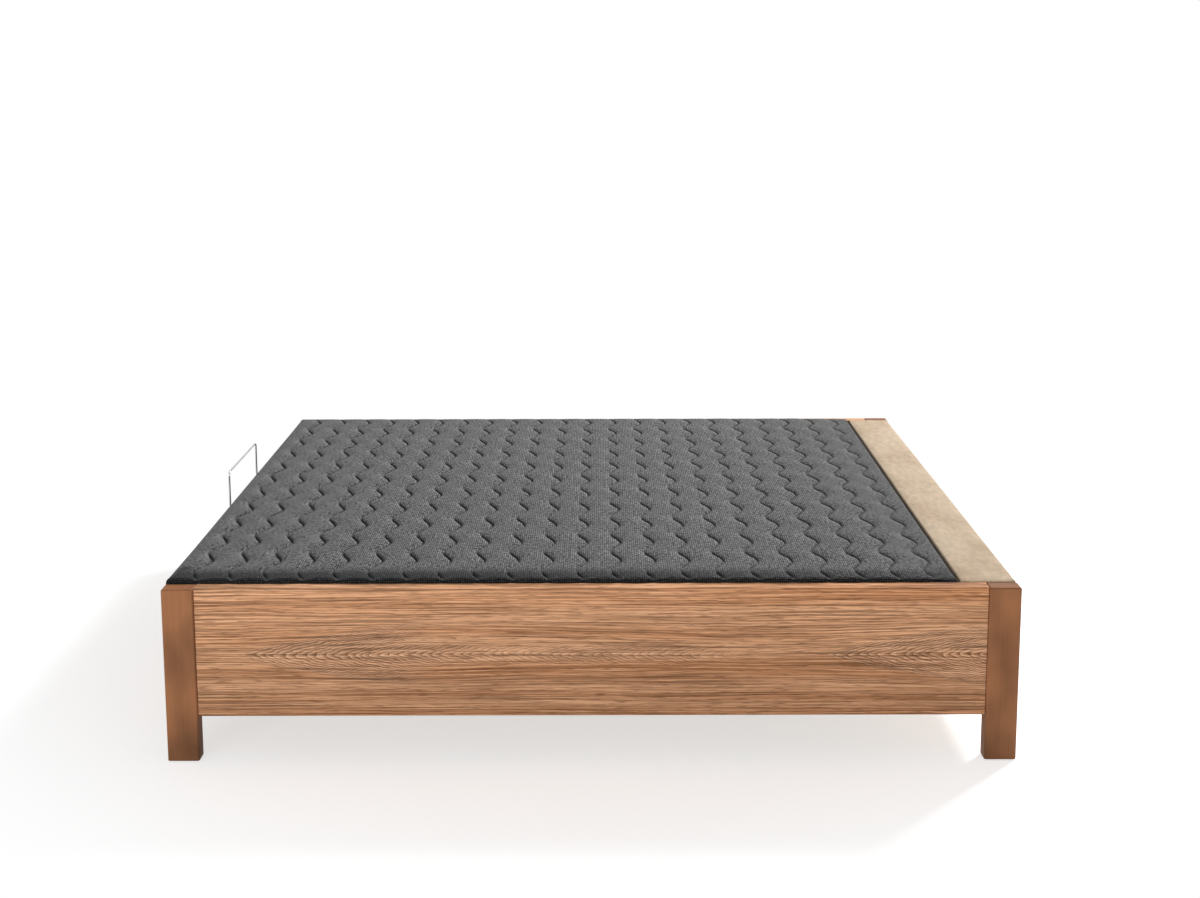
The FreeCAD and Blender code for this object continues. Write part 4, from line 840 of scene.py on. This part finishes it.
def lay_quilted_cover(quilt, colours):
    """The quilted cover over its board: wavy sewn channels, rolled edge, hem tucked to the board."""
    low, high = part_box("quilted_cover")
    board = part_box("platform_board")
    x, y, rise, seam_shading, sewn = quilt_grid(low, high, quilt)
    fall = shoulder_fall(x, y, low, high, quilt)
    depth = quilt.seam_depth * np.clip((high.y - y) / BACK_RUN_OUT, BACK_SHARE, 1)
    z = high.z - COVER_ROOM - fall - depth * (1 - rise) + softness(x, y, *COVER_UNEVEN)
    z = np.maximum(z, board[1].z + LEAST_COVER)
    edge = high.z - COVER_ROOM - quilt.shoulder_drop
    rings = edge_roll(quilt.lip, edge - quilt.lip_height)
    rings += [(quilt.lip, 1, low.z + level) for level in COVER_HEM]
    rings += [(quilt.lip - HEM_TUCK, 1, low.z + HEM_END)]
    cover, levels, cloth = stitched_sheet("quilted_cover_cloth", x, y, z, rings)
    rows, columns = x.shape
    seam_points = np.arange(rows * columns).reshape(rows, columns)[:, sewn]
    held = np.concatenate((seam_points.reshape(-1), *levels[len(ROLL_TURNS) + 1:]))
    fill_out(cover, held, quilt.pressure, quilt.swell)
    close_round_board(cover, levels[-1], board, cloth, charcoal_knit(colours))
    shade_border(cover, low, high, edge - BORDER_START, quilt)
    shade_creases(cover, rise, seam_shading)
    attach(cover, "platform")
    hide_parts("quilted_cover")
    return cover, seam_points


def lay_deck_cloth(deck, colours):
    """Beige cloth drawn over the fixed strip at the head."""
    low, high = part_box("head_deck_cover")
    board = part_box("head_deck_board")
    counts = [round((b - a - 2 * deck.edge) / deck.mesh_pitch) + 1 for a, b in zip(low.xy, high.xy)]
    columns = np.linspace(low.x + deck.edge, high.x - deck.edge, counts[0])
    rows = np.linspace(low.y + deck.edge, high.y - deck.edge, counts[1])
    x, y = np.meshgrid(columns, rows)
    broad, small = (softness(x, y, *uneven) for uneven in STRIP_UNEVEN)
    z = high.z - STRIP_ROOM + broad + small
    rings = edge_roll(deck.edge, high.z - deck.edge)
    rings += [(deck.edge, 1, low.z + level) for level in STRIP_HEM]
    strip, levels, cloth = stitched_sheet("head_deck_cloth", x, y, z, rings)
    fill_out(strip, np.concatenate(levels[len(ROLL_TURNS):]), deck.pressure, deck.swell)
    close_round_board(strip, levels[-1], board, cloth, suede_cloth(colours))
    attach(strip, "bed_frame")
    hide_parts("head_deck_cover")


def stitch_tree():
    """Geometry nodes: stitches laid end to end along seam lines."""
    tree = bpy.data.node_groups.new("seam stitches", "GeometryNodeTree")
    for name, kind in (
        ("Seams", "Geometry"), ("Stitch length", "Float"), ("Stitch gap", "Float"),
        ("Thread radius", "Float"), ("Thread", "Material"),
    ):
        tree.interface.new_socket(name, in_out="INPUT", socket_type=f"NodeSocket{kind}")
    tree.interface.new_socket("Stitches", in_out="OUTPUT", socket_type="NodeSocketGeometry")

    def add(kind, inputs=(), **settings):
        return add_node(tree, kind, inputs, **settings).outputs[0]

    given = add_node(tree, "NodeGroupInput").outputs
    length, radius = given["Stitch length"], given["Thread radius"]
    lines = add("GeometryNodeMeshToCurve", {0: given["Seams"]})
    pitch = add("ShaderNodeMath", {0: length, 1: given["Stitch gap"]}, operation="ADD")
    spaced = add("GeometryNodeResampleCurve", {"Curve": lines, "Length": pitch}, mode="LENGTH")
    bead = add("GeometryNodeMeshIcoSphere", {"Radius": 1.0, "Subdivisions": 1})
    half = add("ShaderNodeMath", {0: length, 1: 0.5}, operation="MULTIPLY")
    tangent = add("GeometryNodeInputTangent")
    laid = add("GeometryNodeInstanceOnPoints", {
        "Points": spaced,
        "Instance": add("GeometryNodeSetShadeSmooth", {0: bead}),
        "Rotation": add("FunctionNodeAlignRotationToVector", {"Vector": tangent}, axis="X"),
        "Scale": add("ShaderNodeCombineXYZ", {0: half, 1: radius, 2: radius}),
    })
    real = add("GeometryNodeRealizeInstances", {0: laid})
    dyed = add("GeometryNodeSetMaterial", {"Geometry": real, "Material": given["Thread"]})
    add_node(tree, "NodeGroupOutput", {0: dyed})
    return tree


def sew_stitches(cover, seam_points, quilt, colours):
    """Lays a stitch line along each seam of the cover."""
    rows, seams = seam_points.shape
    lift = Vector((0, 0, quilt.thread * THREAD_LIFT))
    spots = [cover.data.vertices[int(i)].co + lift for i in seam_points.T.reshape(-1)]
    edges = [(s * rows + r, s * rows + r + 1) for s in range(seams) for r in range(rows - 1)]
    lines = bpy.data.meshes.new("seam lines")
    lines.from_pydata(spots, edges, [])
    guide = put_in_scene("seam lines", lines)
    tree = stitch_tree()
    modifier = guide.modifiers.new("stitches", "NODES")
    modifier.node_group = tree
    values = {
        "Stitch length": quilt.stitch, "Stitch gap": quilt.stitch_gap,
        "Thread radius": quilt.thread / 2, "Thread": twisted_thread(colours),
    }
    for item in tree.interface.items_tree:
        if item.in_out == "INPUT" and item.name in values:
            modifier[item.identifier] = values[item.name]
    shown = guide.evaluated_get(bpy.context.evaluated_depsgraph_get())
    mesh = bpy.data.meshes.new_from_object(shown)
    mesh.name = "quilt_stitches"
    stitches = put_in_scene("quilt_stitches", mesh)
    guide.modifiers.remove(modifier)
    bpy.data.objects.remove(guide)
    if len(mesh.polygons) == 0:
        raise RuntimeError("the seams got no stitches")
    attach(stitches, "platform")


# ---- Operators ----


class BEDBASE_OT_quilt(bpy.types.Operator):
    """Make the quilted cover with its sewn channels and stitches"""

    bl_idname = "bedbase.quilt"
    bl_label = "Quilted cover"

    def execute(self, context):
        base = context.scene.bed_base
        cover, seam_points = lay_quilted_cover(base.quilt, base.colours)
        sew_stitches(cover, seam_points, base.quilt, base.colours)
        return {"FINISHED"}


class BEDBASE_OT_deck(bpy.types.Operator):
    """Make the cloth over the fixed strip at the head"""

    bl_idname = "bedbase.deck"
    bl_label = "Head strip"

    def execute(self, context):
        base = context.scene.bed_base
        lay_deck_cloth(base.deck, base.colours)
        return {"FINISHED"}


class BEDBASE_OT_frame(bpy.types.Operator):
    """Finish the walnut panels and the stained posts"""

    bl_idname = "bedbase.frame"
    bl_label = "Panels and posts"

    def execute(self, context):
        colours = context.scene.bed_base.colours
        laminate = {axis: walnut_laminate(axis, colours) for axis in "XY"}
        for name in PANELS:
            paint([name], laminate[long_axis(name)])
        paint(POSTS, post_stain(colours))
        return {"FINISHED"}


class BEDBASE_OT_inside(bpy.types.Operator):
    """Finish the boards, rails and legs inside the base"""

    bl_idname = "bedbase.inside"
    bl_label = "Boards and rails"

    def execute(self, context):
        colours = context.scene.bed_base.colours
        for names, title, tone, figure, shine in (
            (BOARDS, "birch board", colours.birch[:], 0.3, 0.55),
            (RAILS, "pine rail", colours.pine[:], 0.6, 0.6),
        ):
            made = {}
            for name in names:
                axis = long_axis(name)
                if axis not in made:
                    made[axis] = pale_wood(title, axis, tone, figure, shine)
                paint([name], made[axis])
        return {"FINISHED"}


class BEDBASE_OT_hardware(bpy.types.Operator):
    """Finish the brackets, plates, struts, bolts, glides and bumpers"""

    bl_idname = "bedbase.hardware"
    bl_label = "Hardware"

    def execute(self, context):
        paint(PAINTED, metal("dark painted steel", (0.05, 0.05, 0.055), 0.0, 0.45, 1400.0, 0.0002))
        paint(PLATED, metal("zinc plated steel", (0.56, 0.56, 0.55), 1.0, 0.32, 900.0, 0.0001))
        paint(CYLINDERS, metal("black strut paint", (0.025, 0.025, 0.026), 0.0, 0.3, 700.0, 0.0001))
        paint(CHROMED, metal("bright chrome", (0.6, 0.62, 0.64), 1.0, 0.18, 300.0, 0.00002))
        paint(["floor_glides"], moulded("black glide plastic", (0.022, 0.022, 0.022), 0.5, 1200.0))
        paint(["pivot_bushes"], moulded("black bush plastic", (0.03, 0.03, 0.03), 0.45, 1200.0))
        paint(["platform_bumpers"], moulded("black bumper rubber", (0.02, 0.02, 0.02), 0.75, 1600.0))
        return {"FINISHED"}


def soft_light(name, place, aim, size, power):
    lamp = bpy.data.lights.new(name, "AREA")
    lamp.shape = "RECTANGLE"
    lamp.size, lamp.size_y = size
    lamp.energy = power
    made = put_in_scene(name, lamp)
    made.location = place
    made.rotation_euler = (Vector(aim) - Vector(place)).to_track_quat("-Z", "Y").to_euler()


def seen_share(tree):
    """1 for what the camera, a mirror or glass sees directly, else 0."""
    rays = add_node(tree, "ShaderNodeLightPath").outputs
    total = rays["Is Camera Ray"]
    for name in ("Is Glossy Ray", "Is Transmission Ray"):
        total = add_node(tree, "ShaderNodeMath", {0: total, 1: rays[name]}, operation="MAXIMUM").outputs[0]
    return total


def white_room():
    """World: plain white to the eye, softer as light."""
    world = bpy.data.worlds.new("white room")
    bpy.context.scene.world = world
    world.use_nodes = True
    tree = world.node_tree
    back = next(n for n in tree.nodes if n.type == "BACKGROUND")
    values = {"Value": seen_share(tree), "To Min": ROOM_LIGHT, "To Max": 1.0}
    feed(tree, back.inputs["Color"], (1, 1, 1))
    feed(tree, back.inputs["Strength"], add_node(tree, "ShaderNodeMapRange", values).outputs[0])


def pale_floor():
    """A wide white floor that keeps the bed's soft shadow."""
    mesh = bpy.data.meshes.new("floor")
    corners = [(FLOOR_REACH * a, FLOOR_REACH * b, 0) for a, b in ((-1, -1), (1, -1), (1, 1), (-1, 1))]
    mesh.from_pydata(corners, [], [(0, 1, 2, 3)])
    floor = put_in_scene("floor", mesh)
    f = Finish("white floor")
    f.surface_is(Base_Color=(0.93, 0.93, 0.93), Roughness=0.9, Specular_IOR_Level=0.1)
    seen = seen_share(f.tree)
    lift = f.calc("MULTIPLY", seen, FLOOR_LIFT)
    glow = f.node("ShaderNodeEmission", {"Color": (1, 1, 1), "Strength": lift}).outputs[0]
    near = f.node("ShaderNodeAddShader", {0: f.surface.outputs[0], 1: glow}).outputs[0]
    spot = f.stretch(f.place(), (1.0, 1.25, 0.0))
    away = f.node("ShaderNodeVectorMath", {0: spot}, operation="LENGTH").outputs["Value"]
    values = {"Value": away, "From Min": SHADOW_REACH, "From Max": WHITE_REACH}
    clear = f.node("ShaderNodeMapRange", values, interpolation_type="SMOOTHSTEP").outputs[0]
    plain = f.node("ShaderNodeEmission", {"Color": (1, 1, 1), "Strength": 1.0}).outputs[0]
    values = {0: f.calc("MULTIPLY", clear, seen), 1: near, 2: plain}
    both = f.node("ShaderNodeMixShader", values).outputs[0]
    output = next(n for n in f.tree.nodes if n.type == "OUTPUT_MATERIAL")
    feed(f.tree, output.inputs["Surface"], both)
    mesh.materials.append(f.material)


def photo_camera():
    """The camera at the photograph's viewing angle."""
    yaw, pitch, roll = CAMERA_YAW, CAMERA_PITCH, CAMERA_ROLL
    flat_right = Vector((math.cos(yaw), -math.sin(yaw), 0))
    flat_ahead = Vector((math.sin(yaw), math.cos(yaw), 0))
    upright = Vector((0, 0, 1))
    ahead = math.cos(pitch) * flat_ahead - math.sin(pitch) * upright
    level_up = math.sin(pitch) * flat_ahead + math.cos(pitch) * upright
    right = math.cos(roll) * flat_right - math.sin(roll) * level_up
    up = math.sin(roll) * flat_right + math.cos(roll) * level_up
    lens = bpy.data.cameras.new("photo camera")
    lens.sensor_width = SENSOR_WIDTH
    lens.lens = FOCAL_PIXELS / IMAGE_WIDTH * SENSOR_WIDTH
    lens.shift_y = SHIFT_PIXELS / IMAGE_WIDTH
    camera = put_in_scene("photo camera", lens)
    turn = Matrix((right, up, -ahead)).transposed().to_4x4()
    camera.matrix_world = Matrix.Translation(CAMERA_PLACE) @ turn
    bpy.context.scene.camera = camera


class BEDBASE_OT_stage(bpy.types.Operator):
    """Set the floor, the light and the camera"""

    bl_idname = "bedbase.stage"
    bl_label = "Stage"

    def execute(self, context):
        context.scene.view_settings.view_transform = "Standard"
        white_room()
        pale_floor()
        photo_camera()
        for lamp in LAMPS:
            soft_light(*lamp)
        return {"FINISHED"}


class BEDBASE_PT_panel(bpy.types.Panel):
    """Lists the bed base's pieces"""

    bl_idname = "BEDBASE_PT_panel"
    bl_label = "Storage Bed Base"
    bl_space_type = "VIEW_3D"
    bl_region_type = "UI"
    bl_category = "Bed Base"

    def draw(self, context):
        for operator in OPERATORS:
            self.layout.operator(operator.bl_idname)


OPERATORS = (
    BEDBASE_OT_quilt, BEDBASE_OT_deck, BEDBASE_OT_frame, BEDBASE_OT_inside, BEDBASE_OT_hardware,
    BEDBASE_OT_stage,
)
CLASSES = (QuiltSizes, DeckSizes, FinishColours, BedBase, *OPERATORS, BEDBASE_PT_panel)


def register():
    for each in CLASSES:
        bpy.utils.register_class(each)
    bpy.types.Scene.bed_base = PointerProperty(
        type=BedBase, name="Bed base", description="Settings of the storage bed base"
    )


def unregister():
    del bpy.types.Scene.bed_base
    for each in reversed(CLASSES):
        bpy.utils.unregister_class(each)


def main():
    register()
    bpy.ops.bedbase.quilt()
    bpy.ops.bedbase.deck()
    bpy.ops.bedbase.frame()
    bpy.ops.bedbase.inside()
    bpy.ops.bedbase.hardware()
    bpy.ops.bedbase.stage()


if __name__ == "__main__":
    main()
